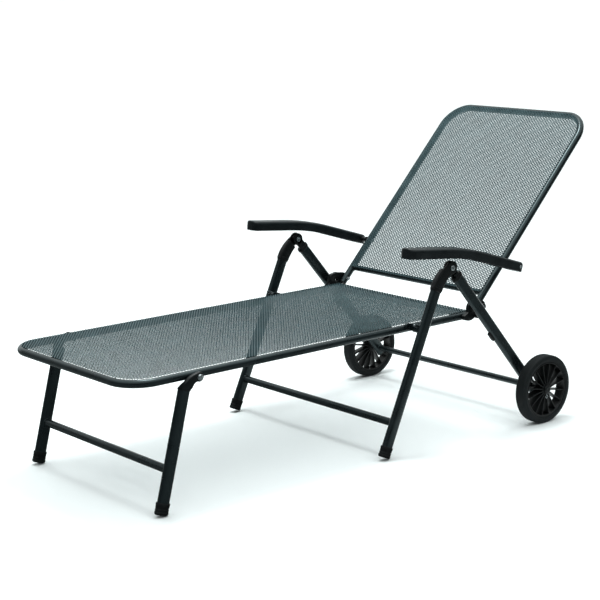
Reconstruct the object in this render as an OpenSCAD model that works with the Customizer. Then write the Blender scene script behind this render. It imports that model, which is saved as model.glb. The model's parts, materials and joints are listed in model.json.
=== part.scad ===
// Reclining sun lounger: steel tube frame, expanded metal lying surface, two wheels.
// The foot end points along -X, the head end along +X, and the left-hand side is at -Y.
// The origin is on the ground, under the middle of the whole lounger.

/* [Deck] */
// Distance from the foot end to the back edge of the fixed lying surface
deck_len = 1223; // [1150:1:1250]
// Width over the deck's side tubes
deck_w = 604; // [560:2:640]
// Height of the lying surface above the ground
deck_h = 367; // [350:1:385]
// Centreline radius of the bent corners
corner_r = 82; // [60:1:110]
// Diameter of the frame tubes
tube_d = 22; // [20:1:25]
// Wall thickness of all steel tubes
wall = 1.5; // [1:0.1:2]
// Thickness of the expanded metal sheet
mesh_t = 2; // [1.5:0.1:3]
// How far the sheet reaches past the centreline of the tube that it is welded to
mesh_lap = 6; // [4:0.5:8]

/* [Backrest] */
// Distance from the foot end to the backrest hinge
hinge_station = 1253; // [1250:1:1265]
// Height of the backrest hinge
hinge_h = 378.5; // [375:0.5:382]
// Length from the hinge to the centreline of the top tube
back_len = 723; // [650:1:760]
// Angle of the backrest above the horizontal
back_angle = 46.2; // [40:0.1:52]
// Distance from the hinge to the backrest's lower cross tube
back_bar_station = 44; // [40:1:60]
// Diameter of the backrest's lower cross tube
back_bar_d = 18; // [16:1:20]

/* [Legs] */
// Width of the flat oval leg tube, seen from the side
leg_w = 35; // [32:1:36]
// Thickness of the flat oval leg tube, across the lounger
leg_t = 20; // [18:1:22]
// Diameter of the leg cross tubes
bar_d = 22; // [20:1:24]
// Distance from the foot end to where the front leg axis meets the ground
front_station = 85; // [75:1:95]
// Lean of the front legs
front_lean = 14.9; // [12:0.1:17]
// Half distance between the front leg centrelines
front_y = 300; // [298:1:302]
// Height of the front cross tube
front_bar_h = 118; // [100:1:140]
// Distance from the foot end to the front hinge
front_hinge_station = 211; // [207:1:214]
// Distance from the foot end to where the middle leg axis meets the ground
middle_station = 822; // [810:1:830]
// Lean of the middle legs
middle_lean = 24.4; // [23:0.1:26]
// Half distance between the centrelines of the middle and rear legs
side_y = 343; // [341:1:346]
// Height of the middle cross tube
middle_bar_h = 101; // [90:1:120]
// Distance from the foot end to the joint of middle and rear legs
knee_station = 1090; // [1086:1:1094]
// Height of the joint of middle and rear legs
knee_h = 521; // [515:1:526]

/* [Wheels] */
// Distance from the foot end to the axle
axle_station = 1446; // [1430:1:1460]
// Outer radius of the tyres
wheel_r = 105; // [100:1:110]
// Radius where the tyre sits on the rim
rim_r = 86; // [80:1:90]
// Width of a tyre
tyre_w = 38; // [30:1:42]
// Half distance between the wheel centres
wheel_y = 388; // [386:1:392]
// Number of spokes in a wheel
spokes = 16; // [8:1:20]
// Diameter of the axle rod
axle_d = 12; // [10:1:14]

/* [Armrests] */
// Distance along the backrest from its hinge to the armrest pin
arm_pin_station = 155; // [150:1:160]
// Half distance between the armrest centrelines
arm_y = 347; // [345:1:349]
// Height of the armrest's side
arm_t = 30; // [28:1:32]
// Width of an armrest at its back end
arm_w = 46; // [44:1:50]
// Width of an armrest at its front end
arm_front_w = 54; // [50:1:60]

/* [Hidden] */
$fn = 48;
big = 2000;

frame_col = "#2b3133";
mesh_col = "#454d50";
plastic_col = "#1a1c1e";
rubber_col = "#202224";
zinc_col = "#b8bcbd";

run_fit = 0.05;      // radial clearance of a turning fit
slip_fit = 0.2;      // clearance between pushed-together parts
tube_r = tube_d / 2;
rail_y = deck_w / 2 - tube_r;
rail_z = deck_h - mesh_t - tube_r;
total_len = hinge_station + back_len * cos(back_angle) + tube_r;
foot_x = -total_len / 2;
deck_end_x = foot_x + deck_len;

hinge = [foot_x + hinge_station, hinge_h];
knee = [foot_x + knee_station, knee_h];
axle = [foot_x + axle_station, wheel_r];
front_hinge = [foot_x + front_hinge_station, rail_z - 4];
middle_hinge = [foot_x + middle_station + rail_z * tan(middle_lean), rail_z];
rear_vec = axle - knee;
rear_len = norm(rear_vec);
rear_tilt = atan2(rear_vec[0], rear_vec[1]);
bolt_d = 8;

// ---------- general shapes ----------

// Round solid bar or tube along Y, centred on y = 0
module bar_y(d, len) {
    rotate([90, 0, 0]) cylinder(d = d, h = len, center = true);
}

module tube_y(d, len) {
    difference() {
        bar_y(d, len);
        bar_y(d - 2 * wall, len + 2);
    }
}

// Round disc at [x, z] that reaches from y0 to y1
module disc_y(at, d, y0, y1) {
    translate([at[0], y1, at[1]]) rotate([90, 0, 0]) cylinder(d = d, h = y1 - y0);
}

// Flat oval section, w along X and t along Y
module oval(w, t) {
    square([w - t, t], center = true);
    for (s = [-1, 1]) translate([s * (w - t) / 2, 0]) circle(d = t);
}

module oval_tube(len) {
    linear_extrude(len) difference() {
        oval(leg_w, leg_t);
        oval(leg_w - 2 * wall, leg_t - 2 * wall);
    }
}

module oval_sleeve(w, t, len) {
    linear_extrude(len) difference() {
        oval(w, t);
        oval(leg_w + slip_fit, leg_t + slip_fit);
    }
}

// Straight tube along +X from the origin
module tube_x(d, len) {
    rotate([0, 90, 0]) difference() {
        cylinder(d = d, h = len);
        translate([0, 0, -1]) cylinder(d = d - 2 * wall, h = len + 2);
    }
}

// Quarter bend in the XY plane about the origin, from the +X side to the +Y side
module bend(d, r) {
    rotate_extrude(angle = 90, $fn = 64) translate([r, 0]) difference() {
        circle(d = d);
        circle(d = d - 2 * wall);
    }
}

// Closed end of a U in the XY plane: a tube along Y at x = 0 with a quarter bend at each end
module u_bend(half_w, r) {
    for (s = [0, 1]) mirror([0, s, 0]) translate([r, half_w - r, 0]) rotate([0, 0, 90]) bend(tube_d, r);
    tube_y(tube_d, 2 * (half_w - r));
}

// U-shaped tube in the XY plane: its legs run along X to x = len
module u_tube(len, half_w, r) {
    u_bend(half_w, r);
    for (s = [-1, 1]) translate([r, s * half_w, 0]) tube_x(tube_d, len - r);
}

// Sheet outline with two rounded corners at x = 0, square at x = len
module sheet_outline(len, half_w, r) {
    translate([r, -half_w]) square([len - r, 2 * half_w]);
    translate([0, -(half_w - r)]) square([r + 1, 2 * (half_w - r)]);
    for (s = [-1, 1]) translate([r, s * (half_w - r)]) circle(r = r, $fn = 64);
}

// Plate in the XZ plane that reaches from y0 to y1
module plate_y(y0, y1) {
    translate([0, y1, 0]) rotate([90, 0, 0]) linear_extrude(y1 - y0) children();
}

// Round bar along Y through [x, z], long enough to bore through everything
module bore_y(at, d) {
    translate([at[0], 0, at[1]]) bar_y(d, big);
}

// Pan-headed bolt along Y: shank from y0 to y1, head outside y1, nut inside y0
module bolt(at, d, y0, y1) {
    head_t = 4;
    head_d = 1.9 * d;
    disc_y(at, d, y0 - head_t / 2, y1 + head_t / 2);
    disc_y(at, head_d, y1, y1 + head_t);
    translate([at[0], y0, at[1]]) rotate([90, 0, 0]) cylinder(d = head_d, h = head_t, $fn = 6);
}

// A curved arm in the XZ plane: it leaves a leg's axis at p and bends over to reach q
band_steps = 12;
function across(lean) = [cos(lean), -sin(lean)];
function along(lean) = [sin(lean), cos(lean)];
function band_r(p, q, lean) = ((q - p) * (q - p)) / (2 * ((q - p) * across(lean)));
function band_edge(p, q, lean, o) =
    let (r = band_r(p, q, lean), c = p + r * across(lean),
        sweep = 2 * atan2((q - p) * across(lean), (q - p) * along(lean)))
    [for (i = [0 : band_steps]) let (a = 180 - lean - sweep * i / band_steps)
        c + (r + o) * [cos(a), sin(a)]];

module curved_band(p, q, lean, w, root) {
    polygon(concat(
        [p - root * along(lean) - w / 2 * across(lean)], band_edge(p, q, lean, w / 2),
        reversed(band_edge(p, q, lean, -w / 2)), [p - root * along(lean) + w / 2 * across(lean)]));
}

function reversed(v) = [for (i = [len(v) - 1 : -1 : 0]) v[i]];

// ---------- deck ----------

bolt_hole_d = bolt_d + slip_fit;
bracket_bolt_x = deck_end_x - 34;       // bolt that fixes the end bracket

module rail_holes() {
    for (h = [front_hinge, middle_hinge]) bore_y(h, bolt_hole_d);
    bore_y([bracket_bolt_x, rail_z], bolt_hole_d);
}

// Bent tube of the foot end: it meets the side tubes where its bends end
module deck_foot_tube() {
    color(frame_col) translate([foot_x + tube_r, 0, rail_z]) u_bend(rail_y, corner_r);
}

module deck_rail() {
    straight = deck_len - tube_r - corner_r;
    color(frame_col) difference() {
        translate([deck_end_x - straight, rail_y, rail_z]) tube_x(tube_d, straight);
        rail_holes();
    }
}

rear_tube_x = deck_end_x - 12;          // clear of the end plugs

module deck_rear_tube() {
    color(frame_col) translate([rear_tube_x, 0, rail_z])
        tube_y(tube_d - 2, 2 * (rail_y - tube_r - slip_fit));
}

module deck_mesh() {
    color(mesh_col) translate([foot_x + tube_r - mesh_lap, 0, deck_h - mesh_t]) linear_extrude(mesh_t)
        sheet_outline(deck_len - tube_r + mesh_lap, rail_y + mesh_lap, corner_r + mesh_lap);
}

plug_t = 3;             // flange of a tube plug
plug_depth = 10;

// Plug along +X in the open end of a round tube at the origin
module round_plug() {
    rotate([0, 90, 0]) cylinder(d = tube_d, h = plug_t);
    translate([-plug_depth, 0, 0]) rotate([0, 90, 0])
        cylinder(d = tube_d - 2 * wall - slip_fit, h = plug_depth + 1);
}

module rail_end_plugs() {
    color(plastic_col) for (s = [-1, 1]) translate([deck_end_x, s * rail_y, rail_z]) round_plug();
}

elbow_y0 = rail_y + tube_r + 0.6;
elbow_t = 14;

module front_hinge_bolts() {
    color(zinc_col) for (s = [0, 1]) mirror([0, s, 0])
        bolt(front_hinge, bolt_d, rail_y - tube_r, elbow_y0 + elbow_t + 0.4);
}

leg_in_y = side_y - leg_t / 2;
leg_out_y = side_y + leg_t / 2;
plate_t = 5;

// Welded plate on the outside of a side tube, with a boss that holds the middle leg clear
module middle_bracket() {
    plate_l = 70;
    plate_h = 20;
    plate_tilt = 18;
    boss_d = 24;
    y0 = rail_y + tube_r - 1;
    color(frame_col) difference() {
        union() {
            translate([middle_hinge[0], y0 + plate_t / 2, middle_hinge[1]]) rotate([0, plate_tilt, 0])
                rotate([90, 0, 0]) linear_extrude(plate_t, center = true) oval(plate_l, plate_h);
            disc_y(middle_hinge, boss_d, y0 + plate_t - 1, leg_in_y - 0.4);
        }
        bore_y(middle_hinge, bolt_hole_d);
        translate([0, rail_y, rail_z]) rotate([0, 90, 0]) cylinder(d = tube_d + 0.1, h = big, center = true);
    }
}

module middle_hinge_bolts() {
    color(zinc_col) for (s = [0, 1]) mirror([0, s, 0])
        bolt(middle_hinge, bolt_d, rail_y - tube_r, leg_out_y + 0.4);
}

bracket_t = 13;
bracket_y0 = rail_y + tube_r + 0.5;
stud_station = 225;     // from the knee, along the rear leg
stud = knee + rear_vec * stud_station / rear_len;
stud_d = 12;

// Moulded bracket bolted to the end of a side tube: it carries the backrest hinge,
// and its underside sits on the stud of the rear leg
module end_bracket() {
    floor_z = stud[1] + stud_d / 2 + 0.3;
    head_d = 30;
    x0 = bracket_bolt_x;
    color(plastic_col) difference() {
        translate([0, bracket_y0 + bracket_t, 0]) rotate([90, 0, 0]) linear_extrude(bracket_t) {
            difference() {
                union() {
                    polygon([
                        [x0, rail_z - 9], [deck_end_x - 4, rail_z - 9], [deck_end_x, floor_z],
                        [stud[0] + 6, floor_z], [hinge[0] + 8, hinge[1] - 12.5],
                        [hinge[0], hinge[1] + head_d / 2], [hinge[0] - 46, hinge[1] + 19],
                        [hinge[0] - 54, hinge[1] + 12], [hinge[0] - 56, rail_z + 12],
                        [x0, rail_z + 9]]);
                    translate([x0, rail_z]) circle(d = 18);
                    translate(hinge) circle(d = head_d);
                }
                translate([hinge[0] - 28, hinge[1] - 4]) circle(d = 11);
            }
        }
        bore_y([bracket_bolt_x, rail_z], bolt_hole_d);
        bore_y(hinge, bolt_hole_d);
    }
}

module backrest_hinge_bolts() {
    color(zinc_col) for (s = [0, 1]) mirror([0, s, 0]) {
        bolt(hinge, bolt_d, rail_y - tube_r - 0.4, bracket_y0 + bracket_t);
        bolt([bracket_bolt_x, rail_z], bolt_d, rail_y - tube_r, bracket_y0 + bracket_t);
    }
}

// ---------- front legs ----------

front_top_z = rail_z - tube_r - 22;     // the tube ends here, the elbow fills the rest
cap_w = leg_w + 5;
cap_t = leg_t + 6;
cap_h = 32;
cap_floor = 6;

// Places children on a leg axis that leaves the ground at x = foot_x + station
module on_leg(station, lean, y, z) {
    translate([foot_x + station + z * tan(lean), y, z]) rotate([0, lean, 0]) children();
}

// Length along the leg from the ground plane to the underside of its foot
function foot_lift(lean) = cap_w / 2 * tan(lean);

module front_leg() {
    lift = foot_lift(front_lean) + cap_floor;
    color(frame_col) on_leg(front_station, front_lean, front_y, 0) translate([0, 0, lift])
        oval_tube(front_top_z / cos(front_lean) - lift);
}

module foot_cap(lean) {
    translate([0, 0, foot_lift(lean)]) {
        linear_extrude(cap_floor) oval(cap_w, cap_t);
        translate([0, 0, cap_floor]) oval_sleeve(cap_w, cap_t, cap_h - cap_floor);
    }
}

module front_foot() {
    color(rubber_col) on_leg(front_station, front_lean, front_y, 0) foot_cap(front_lean);
}

front_bar_x = foot_x + front_station + front_bar_h * tan(front_lean);

module front_crossbar() {
    color(frame_col) translate([front_bar_x, 0, front_bar_h])
        tube_y(bar_d, 2 * (front_y - leg_t / 2 - slip_fit));
}

spigot_w = leg_w - 2 * wall - slip_fit;
spigot_t = leg_t - 2 * wall - slip_fit;

// Moulded elbow: a block on the leg end that stops under the side tube, and a curved arm
// outside the tube that turns on the hinge bolt
module front_elbow() {
    root_z = front_top_z + 14;
    root = [foot_x + front_station + root_z * tan(front_lean), root_z];
    arm = 24;
    color(plastic_col) difference() {
        union() {
            difference() {
                on_leg(front_station, front_lean, front_y, front_top_z)
                    linear_extrude(32) oval(leg_w, leg_t);
                translate([foot_x, 0, rail_z - tube_r - 0.4]) cube([400, 400, 100]);
            }
            on_leg(front_station, front_lean, front_y, front_top_z) translate([0, 0, -30])
                linear_extrude(31) oval(spigot_w, spigot_t);
            plate_y(elbow_y0, elbow_y0 + elbow_t) {
                curved_band(root, front_hinge, front_lean, arm, 11);
                translate(front_hinge) circle(d = arm + 2);
            }
        }
        bore_y(front_hinge, bolt_d + 2 * run_fit);
    }
}

// ---------- middle legs ----------

head_gap = 62;          // height of the moulded elbow between the leg's tube and the knee
middle_top_z = knee_h - head_gap;

module middle_leg() {
    lift = foot_lift(middle_lean) + cap_floor;
    color(frame_col) difference() {
        on_leg(middle_station, middle_lean, side_y, 0) translate([0, 0, lift])
            oval_tube(middle_top_z / cos(middle_lean) - lift);
        bore_y(middle_hinge, bolt_d + 2 * run_fit);
    }
}

module middle_foot() {
    color(rubber_col) on_leg(middle_station, middle_lean, side_y, 0) foot_cap(middle_lean);
}

middle_bar_x = foot_x + middle_station + middle_bar_h * tan(middle_lean);

module middle_crossbar() {
    color(frame_col) translate([middle_bar_x, 0, middle_bar_h])
        tube_y(bar_d, 2 * (leg_in_y - slip_fit));
}

head_w = 30;
eye_r = 20;
lap_gap = 0.4;
tongue_w = 10;
tongue_top = knee_h + 31;       // inside the armrest's channel
collar_w = leg_w + 4;
collar_t = leg_t + 3;
collar_h = 12;

// Moulded elbow on the top of a middle leg: it curves back to the knee rivet, where its
// outer half laps over the rear leg's head, and a tongue stands up into the armrest
module middle_head() {
    root_z = middle_top_z + 8;
    root = [foot_x + middle_station + root_z * tan(middle_lean), root_z];
    lap_y = side_y + lap_gap / 2;
    color(plastic_col) difference() {
        union() {
            on_leg(middle_station, middle_lean, side_y, middle_top_z)
                linear_extrude(collar_h) oval(collar_w, collar_t);
            on_leg(middle_station, middle_lean, side_y, middle_top_z) translate([0, 0, -40])
                linear_extrude(41) oval(spigot_w, spigot_t);
            plate_y(lap_y, leg_out_y) {
                curved_band(root, knee, middle_lean, head_w, 4);
                translate(knee) circle(r = eye_r);
                translate([knee[0] - tongue_w / 2, knee_h]) square([tongue_w, tongue_top - knee_h]);
            }
            plate_y(leg_in_y, lap_y + 0.01) difference() {
                curved_band(root, knee, middle_lean, head_w, 4);
                translate(knee) circle(r = eye_r + 0.8);
            }
        }
        bore_y(knee, bolt_d + slip_fit);
    }
}

module knee_rivets() {
    color(zinc_col) for (s = [0, 1]) mirror([0, s, 0]) difference() {
        union() {
            disc_y(knee, bolt_d, leg_in_y - 1.5, leg_out_y + 1.5);
            disc_y(knee, 15, leg_out_y + 0.2, leg_out_y + 2.2);
            disc_y(knee, 15, leg_in_y - 2.2, leg_in_y - 0.2);
        }
        bore_y(knee, 4);
    }
}

// ---------- rear legs ----------

head_len = 46;          // from the knee to the start of the rear leg's tube

// Places children on the rear leg, with +Z running from the knee towards the axle
module on_rear_leg(y, dist) {
    translate([knee[0], y, knee[1]]) rotate([0, rear_tilt, 0]) translate([0, 0, dist]) children();
}

rear_end = rear_len + 20;       // the tube passes the axle

module rear_leg() {
    color(frame_col) difference() {
        on_rear_leg(side_y, head_len) oval_tube(rear_end - head_len);
        bore_y(axle, axle_d + slip_fit);
        disc_y(stud, bolt_hole_d, leg_in_y - 1, side_y);
    }
}

// Moulded head of a rear leg: its inner half turns on the knee rivet
module rear_head() {
    neck_w = 26;
    outer_neck_w = 16;      // narrow enough to pass the tongue when the legs fold
    lap_y = side_y - lap_gap / 2;
    color(plastic_col) difference() {
        union() {
            on_rear_leg(side_y, head_len - collar_h)
                linear_extrude(collar_h) oval(collar_w, collar_t);
            on_rear_leg(side_y, head_len - 1) linear_extrude(40) oval(spigot_w, spigot_t);
            plate_y(leg_in_y, lap_y) {
                rear_neck(neck_w);
                translate(knee) circle(r = eye_r - 1);
            }
            plate_y(lap_y - 0.01, leg_out_y) difference() {
                rear_neck(outer_neck_w);
                translate(knee) circle(r = eye_r + 0.8);
            }
        }
        bore_y(knee, bolt_d + 2 * run_fit);
    }
}

// Straight arm in the XZ plane from the knee down the rear leg's axis
module rear_neck(w) {
    translate(knee) rotate([0, 0, 90 - rear_tilt]) translate([0, -w / 2]) square([head_len - 8, w]);
}

module rear_leg_plugs() {
    color(plastic_col) for (s = [-1, 1]) on_rear_leg(s * side_y, rear_end) {
        linear_extrude(plug_t) oval(leg_w, leg_t);
        translate([0, 0, -plug_depth]) linear_extrude(plug_depth + 1) oval(spigot_w, spigot_t);
    }
}

module rest_stud() {
    color(plastic_col) {
        disc_y(stud, stud_d, bracket_y0 + 1, leg_in_y);
        disc_y(stud, bolt_d, leg_in_y - 1, leg_in_y + 8);
    }
}

stop_start = 274;       // from the knee, along the rear leg
stop_size = [9, 12, 32];
stop_drop = 6;

// Small moulded buffer with a hollowed back, fixed to the underside of a rear leg
module leg_stop() {
    color(plastic_col) on_rear_leg(side_y, stop_start) difference() {
        translate([-leg_w / 2 - stop_drop, -stop_size[1] / 2, 0]) cube(stop_size);
        translate([0, 0, -1]) linear_extrude(stop_size[2] + 2) oval(leg_w + 0.1, leg_t + 0.1);
    }
}

axle_tube_d = 19;

module axle_tube() {
    color(frame_col) translate([axle[0], 0, axle[1]]) difference() {
        bar_y(axle_tube_d, 2 * (leg_in_y - slip_fit));
        bar_y(axle_d + slip_fit, big);
    }
}

hub_in_y = wheel_y - 22;
hub_out_y = wheel_y + 16;

module axle_rod() {
    color(zinc_col) translate([axle[0], 0, axle[1]]) bar_y(axle_d, 2 * (hub_out_y + 4));
}

module axle_spacers() {
    color(plastic_col) for (s = [0, 1]) mirror([0, s, 0]) difference() {
        disc_y(axle, 22, leg_out_y + slip_fit, hub_in_y - 0.5);
        bore_y(axle, axle_d + slip_fit);
    }
}

module axle_caps() {
    color(plastic_col) for (s = [0, 1]) mirror([0, s, 0]) difference() {
        disc_y(axle, 26, hub_out_y + 0.5, hub_out_y + 7);
        disc_y(axle, axle_d + slip_fit, 0, hub_out_y + 4.2);
    }
}

// ---------- wheels ----------

module wheel_rim() {
    hub_r = 17;
    band_t = 5;
    rib_t = 3.6;
    rib_depth = 28;
    rim_w = tyre_w - 8;
    color(plastic_col) translate([axle[0], wheel_y, axle[1]]) rotate([90, 0, 0]) difference() {
        union() {
            rotate_extrude($fn = 96) {
                translate([rim_r - band_t, -rim_w / 2]) square([band_t, rim_w]);
                translate([0, wheel_y - hub_out_y]) square([hub_r, hub_out_y - hub_in_y]);
            }
            for (i = [0 : spokes - 1]) rotate([0, 0, i * 360 / spokes])
                translate([hub_r - 2, -rib_t / 2, -rib_depth / 2])
                    cube([rim_r - band_t - hub_r + 3, rib_t, rib_depth]);
        }
        cylinder(d = axle_d + 2 * run_fit, h = big, center = true);
    }
}

module tyre() {
    bevel = 5;
    color(rubber_col) translate([axle[0], wheel_y, axle[1]]) rotate([90, 0, 0])
        rotate_extrude($fn = 96) polygon([
            [rim_r + 0.1, -tyre_w / 2 + bevel], [rim_r + 4, -tyre_w / 2],
            [wheel_r - bevel, -tyre_w / 2], [wheel_r, -tyre_w / 2 + bevel],
            [wheel_r, tyre_w / 2 - bevel], [wheel_r - bevel, tyre_w / 2],
            [rim_r + 4, tyre_w / 2], [rim_r + 0.1, tyre_w / 2 - bevel]]);
}

// ---------- backrest ----------

// Places children in the backrest's plane: +X runs from the hinge to the top tube
module on_backrest() {
    translate([hinge[0], 0, hinge[1]]) rotate([0, -back_angle, 0]) children();
}

back_tail = 17;         // the tube passes the hinge

module backrest_frame() {
    color(frame_col) on_backrest() difference() {
        translate([back_len, 0, 0]) mirror([1, 0, 0]) u_tube(back_len + back_tail, rail_y, corner_r);
        bar_y(bolt_d + 2 * run_fit, big);
        translate([arm_pin_station, 0, 0]) bar_y(bolt_hole_d, big);
    }
}

module backrest_crossbar() {
    color(frame_col) on_backrest() translate([back_bar_station, 0, 0])
        tube_y(back_bar_d, 2 * (rail_y - tube_r - slip_fit));
}

module backrest_mesh() {
    start = back_bar_station - 7;
    color(mesh_col) on_backrest() translate([back_len + mesh_lap, 0, tube_r]) mirror([1, 0, 0])
        linear_extrude(mesh_t)
            sheet_outline(back_len + mesh_lap - start, rail_y + mesh_lap, corner_r + mesh_lap);
}

module backrest_plugs() {
    color(plastic_col) on_backrest() for (s = [-1, 1])
        translate([-back_tail, s * rail_y, 0]) mirror([1, 0, 0]) round_plug();
}

arm_pin = hinge + arm_pin_station * [cos(back_angle), sin(back_angle)];
arm_wall = 4;
arm_in_y = arm_y - arm_w / 2;

module arm_spacers() {
    color(plastic_col) for (s = [0, 1]) mirror([0, s, 0]) difference() {
        disc_y(arm_pin, 20, rail_y + tube_r + 0.3, arm_in_y - 0.5);
        bore_y(arm_pin, bolt_hole_d);
    }
}

module arm_pins() {
    color(zinc_col) for (s = [0, 1]) mirror([0, s, 0])
        bolt(arm_pin, bolt_d, rail_y - tube_r - 0.3, arm_y + arm_w / 2 + 0.4);
}

// ---------- armrests ----------

arm_back = 20;          // reach behind the pin
arm_rear_run = 150;     // straight part in front of the pin
arm_rear_tilt = 17.5;
arm_bend_r = 850;
arm_bend = 11.5;        // degrees turned by the long curve
arm_front_run = 145;    // straight part at the front
arm_steps = 10;

// Centreline of the armrest in its side view, from the pin forward, as points
function arm_dir(a) = [-cos(a), sin(a)];
function arm_up(a) = [sin(a), cos(a)];
arm_knee = arm_pin + arm_rear_run * arm_dir(arm_rear_tilt);
arm_centre = arm_knee - arm_bend_r * arm_up(arm_rear_tilt);
arm_front_tilt = arm_rear_tilt - arm_bend;
arm_shoulder = arm_centre + arm_bend_r * arm_up(arm_front_tilt);

// Points of the armrest's side at offset o from its centreline
function arm_side(o, back, front) = concat(
    [arm_pin - back * arm_dir(arm_rear_tilt) + o * arm_up(arm_rear_tilt)],
    [for (i = [0 : arm_steps]) let (a = arm_rear_tilt - arm_bend * i / arm_steps)
        arm_centre + (arm_bend_r + o) * arm_up(a)],
    [arm_shoulder + front * arm_dir(arm_front_tilt) + o * arm_up(arm_front_tilt)]);

module arm_profile(low, high, back, front) {
    polygon(concat(arm_side(high, back, front), reversed(arm_side(low, back, front))));
}

module armrest() {
    front_x = arm_shoulder[0] - arm_front_run;
    back_x = arm_pin[0] + arm_back;
    round_r = 16;
    half = arm_w / 2;
    front_half = arm_front_w / 2;
    color(plastic_col) difference() {
        intersection() {
            translate([0, arm_y + arm_front_w, 0]) rotate([90, 0, 0])
                linear_extrude(2 * arm_front_w)
                    arm_profile(-arm_t / 2, arm_t / 2, arm_back, arm_front_run);
            translate([0, arm_y, 0]) linear_extrude(big) polygon([
                [back_x + 9, -half], [arm_shoulder[0], -half], [front_x + 60, -front_half],
                [front_x + round_r, -front_half], [front_x + 4, -front_half + 6],
                [front_x, -front_half + round_r], [front_x, front_half - round_r],
                [front_x + 4, front_half - 6], [front_x + round_r, front_half],
                [front_x + 60, front_half], [arm_shoulder[0], half], [back_x + 9, half]]);
        }
        translate([0, arm_y + half - arm_wall, 0]) rotate([90, 0, 0])
            linear_extrude(arm_w - 2 * arm_wall)
                arm_profile(-arm_t, arm_t / 2 - arm_wall, -16, arm_front_run - 50);
        bore_y(arm_pin, bolt_d + 2 * run_fit);
    }
}

// ---------- all pieces, left at -Y and right at +Y ----------

module left() { mirror([0, 1, 0]) children(); }

deck_foot_tube();
left() deck_rail();  // deck_rail_left
deck_rail();  // deck_rail_right
deck_rear_tube();
deck_mesh();
rail_end_plugs();
front_hinge_bolts();
left() middle_bracket();  // middle_bracket_left
middle_bracket();  // middle_bracket_right
middle_hinge_bolts();
left() end_bracket();  // end_bracket_left
end_bracket();  // end_bracket_right
backrest_hinge_bolts();
left() front_leg();  // front_leg_left
front_leg();  // front_leg_right
front_crossbar();
left() front_elbow();  // front_elbow_left
front_elbow();  // front_elbow_right
left() front_foot();  // front_foot_left
front_foot();  // front_foot_right
left() middle_leg();  // middle_leg_left
middle_leg();  // middle_leg_right
middle_crossbar();
left() middle_head();  // middle_head_left
middle_head();  // middle_head_right
left() middle_foot();  // middle_foot_left
middle_foot();  // middle_foot_right
knee_rivets();
left() rear_leg();  // rear_leg_left
rear_leg();  // rear_leg_right
left() rear_head();  // rear_head_left
rear_head();  // rear_head_right
axle_tube();
axle_rod();
axle_spacers();
axle_caps();
rear_leg_plugs();
left() rest_stud();  // rest_stud_left
rest_stud();  // rest_stud_right
left() leg_stop();  // leg_stop_left
leg_stop();  // leg_stop_right
left() wheel_rim();  // wheel_rim_left
wheel_rim();  // wheel_rim_right
left() tyre();  // tyre_left
tyre();  // tyre_right
backrest_frame();
backrest_crossbar();
backrest_mesh();
backrest_plugs();
arm_spacers();
arm_pins();
left() armrest();  // armrest_left
armrest();  // armrest_right
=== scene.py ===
import json
import math
import bpy
import numpy as np
from mathutils import Matrix, Vector


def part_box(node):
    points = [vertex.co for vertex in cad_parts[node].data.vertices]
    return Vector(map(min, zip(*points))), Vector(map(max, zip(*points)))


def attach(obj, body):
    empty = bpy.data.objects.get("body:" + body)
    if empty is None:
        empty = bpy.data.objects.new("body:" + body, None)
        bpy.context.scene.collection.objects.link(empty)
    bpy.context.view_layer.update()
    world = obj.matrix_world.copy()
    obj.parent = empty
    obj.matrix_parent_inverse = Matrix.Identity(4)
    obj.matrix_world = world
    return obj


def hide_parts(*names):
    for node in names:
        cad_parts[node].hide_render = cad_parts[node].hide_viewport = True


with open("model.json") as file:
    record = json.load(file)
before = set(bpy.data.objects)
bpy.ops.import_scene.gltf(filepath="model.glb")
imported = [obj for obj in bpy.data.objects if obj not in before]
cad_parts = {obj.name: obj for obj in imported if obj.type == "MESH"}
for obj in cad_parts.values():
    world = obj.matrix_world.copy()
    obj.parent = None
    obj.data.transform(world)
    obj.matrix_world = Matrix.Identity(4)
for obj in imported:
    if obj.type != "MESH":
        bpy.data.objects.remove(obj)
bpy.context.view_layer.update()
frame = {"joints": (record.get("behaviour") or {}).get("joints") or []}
pivot = {j["name"]: np.array(j["pos_m"]) for j in frame["joints"]}


# ---------------------------------------------------------------- deck tubes
# The deck's edge is one steel tube bent into a long U, open at the head end, with a cross tube
# under the back edge of the sheet. Round 22 mm tube, welded, then powder coated in anthracite.

rail_low, rail_high = map(np.array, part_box("deck_rail_right"))
tube_r = (rail_high[2] - rail_low[2]) / 2
weld_sink = 0.001           # how far a tube's end reaches into the tube that it is welded to
rail_y = rail_high[1] - tube_r
rail_z = rail_high[2] - tube_r
foot_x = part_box("deck_foot_tube")[0][0]
deck_end_x = rail_high[0]
corner_r = rail_low[0] - foot_x - tube_r


def linear(colour):
    """An sRGB hex colour as linear RGBA: each channel through the standard sRGB curve."""
    c = np.array([int(colour[i:i + 2], 16) for i in (1, 3, 5)]) / 255
    c = np.where(c <= 0.04045, c / 12.92, ((c + 0.055) / 1.055) ** 2.4)
    return (*c, 1.0)


def add(tree, kind, inputs=None, **settings):
    """Adds one node. Settings are its own attributes; inputs are its sockets' values or links."""
    made = tree.nodes.new(kind)
    for name, value in settings.items():
        setattr(made, name, value)
    for name, value in (inputs or {}).items():
        if isinstance(value, bpy.types.NodeSocket):
            tree.links.new(value, made.inputs[name])
        else:
            made.inputs[name].default_value = value
    return made


def blank_material(name):
    """A material with an empty node tree, and the tree's Object coordinates in metres."""
    made = bpy.data.materials.new(name)
    made.use_nodes = True
    made.node_tree.nodes.clear()
    return made, made.node_tree, add(made.node_tree, "ShaderNodeTexCoord").outputs["Object"]


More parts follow.
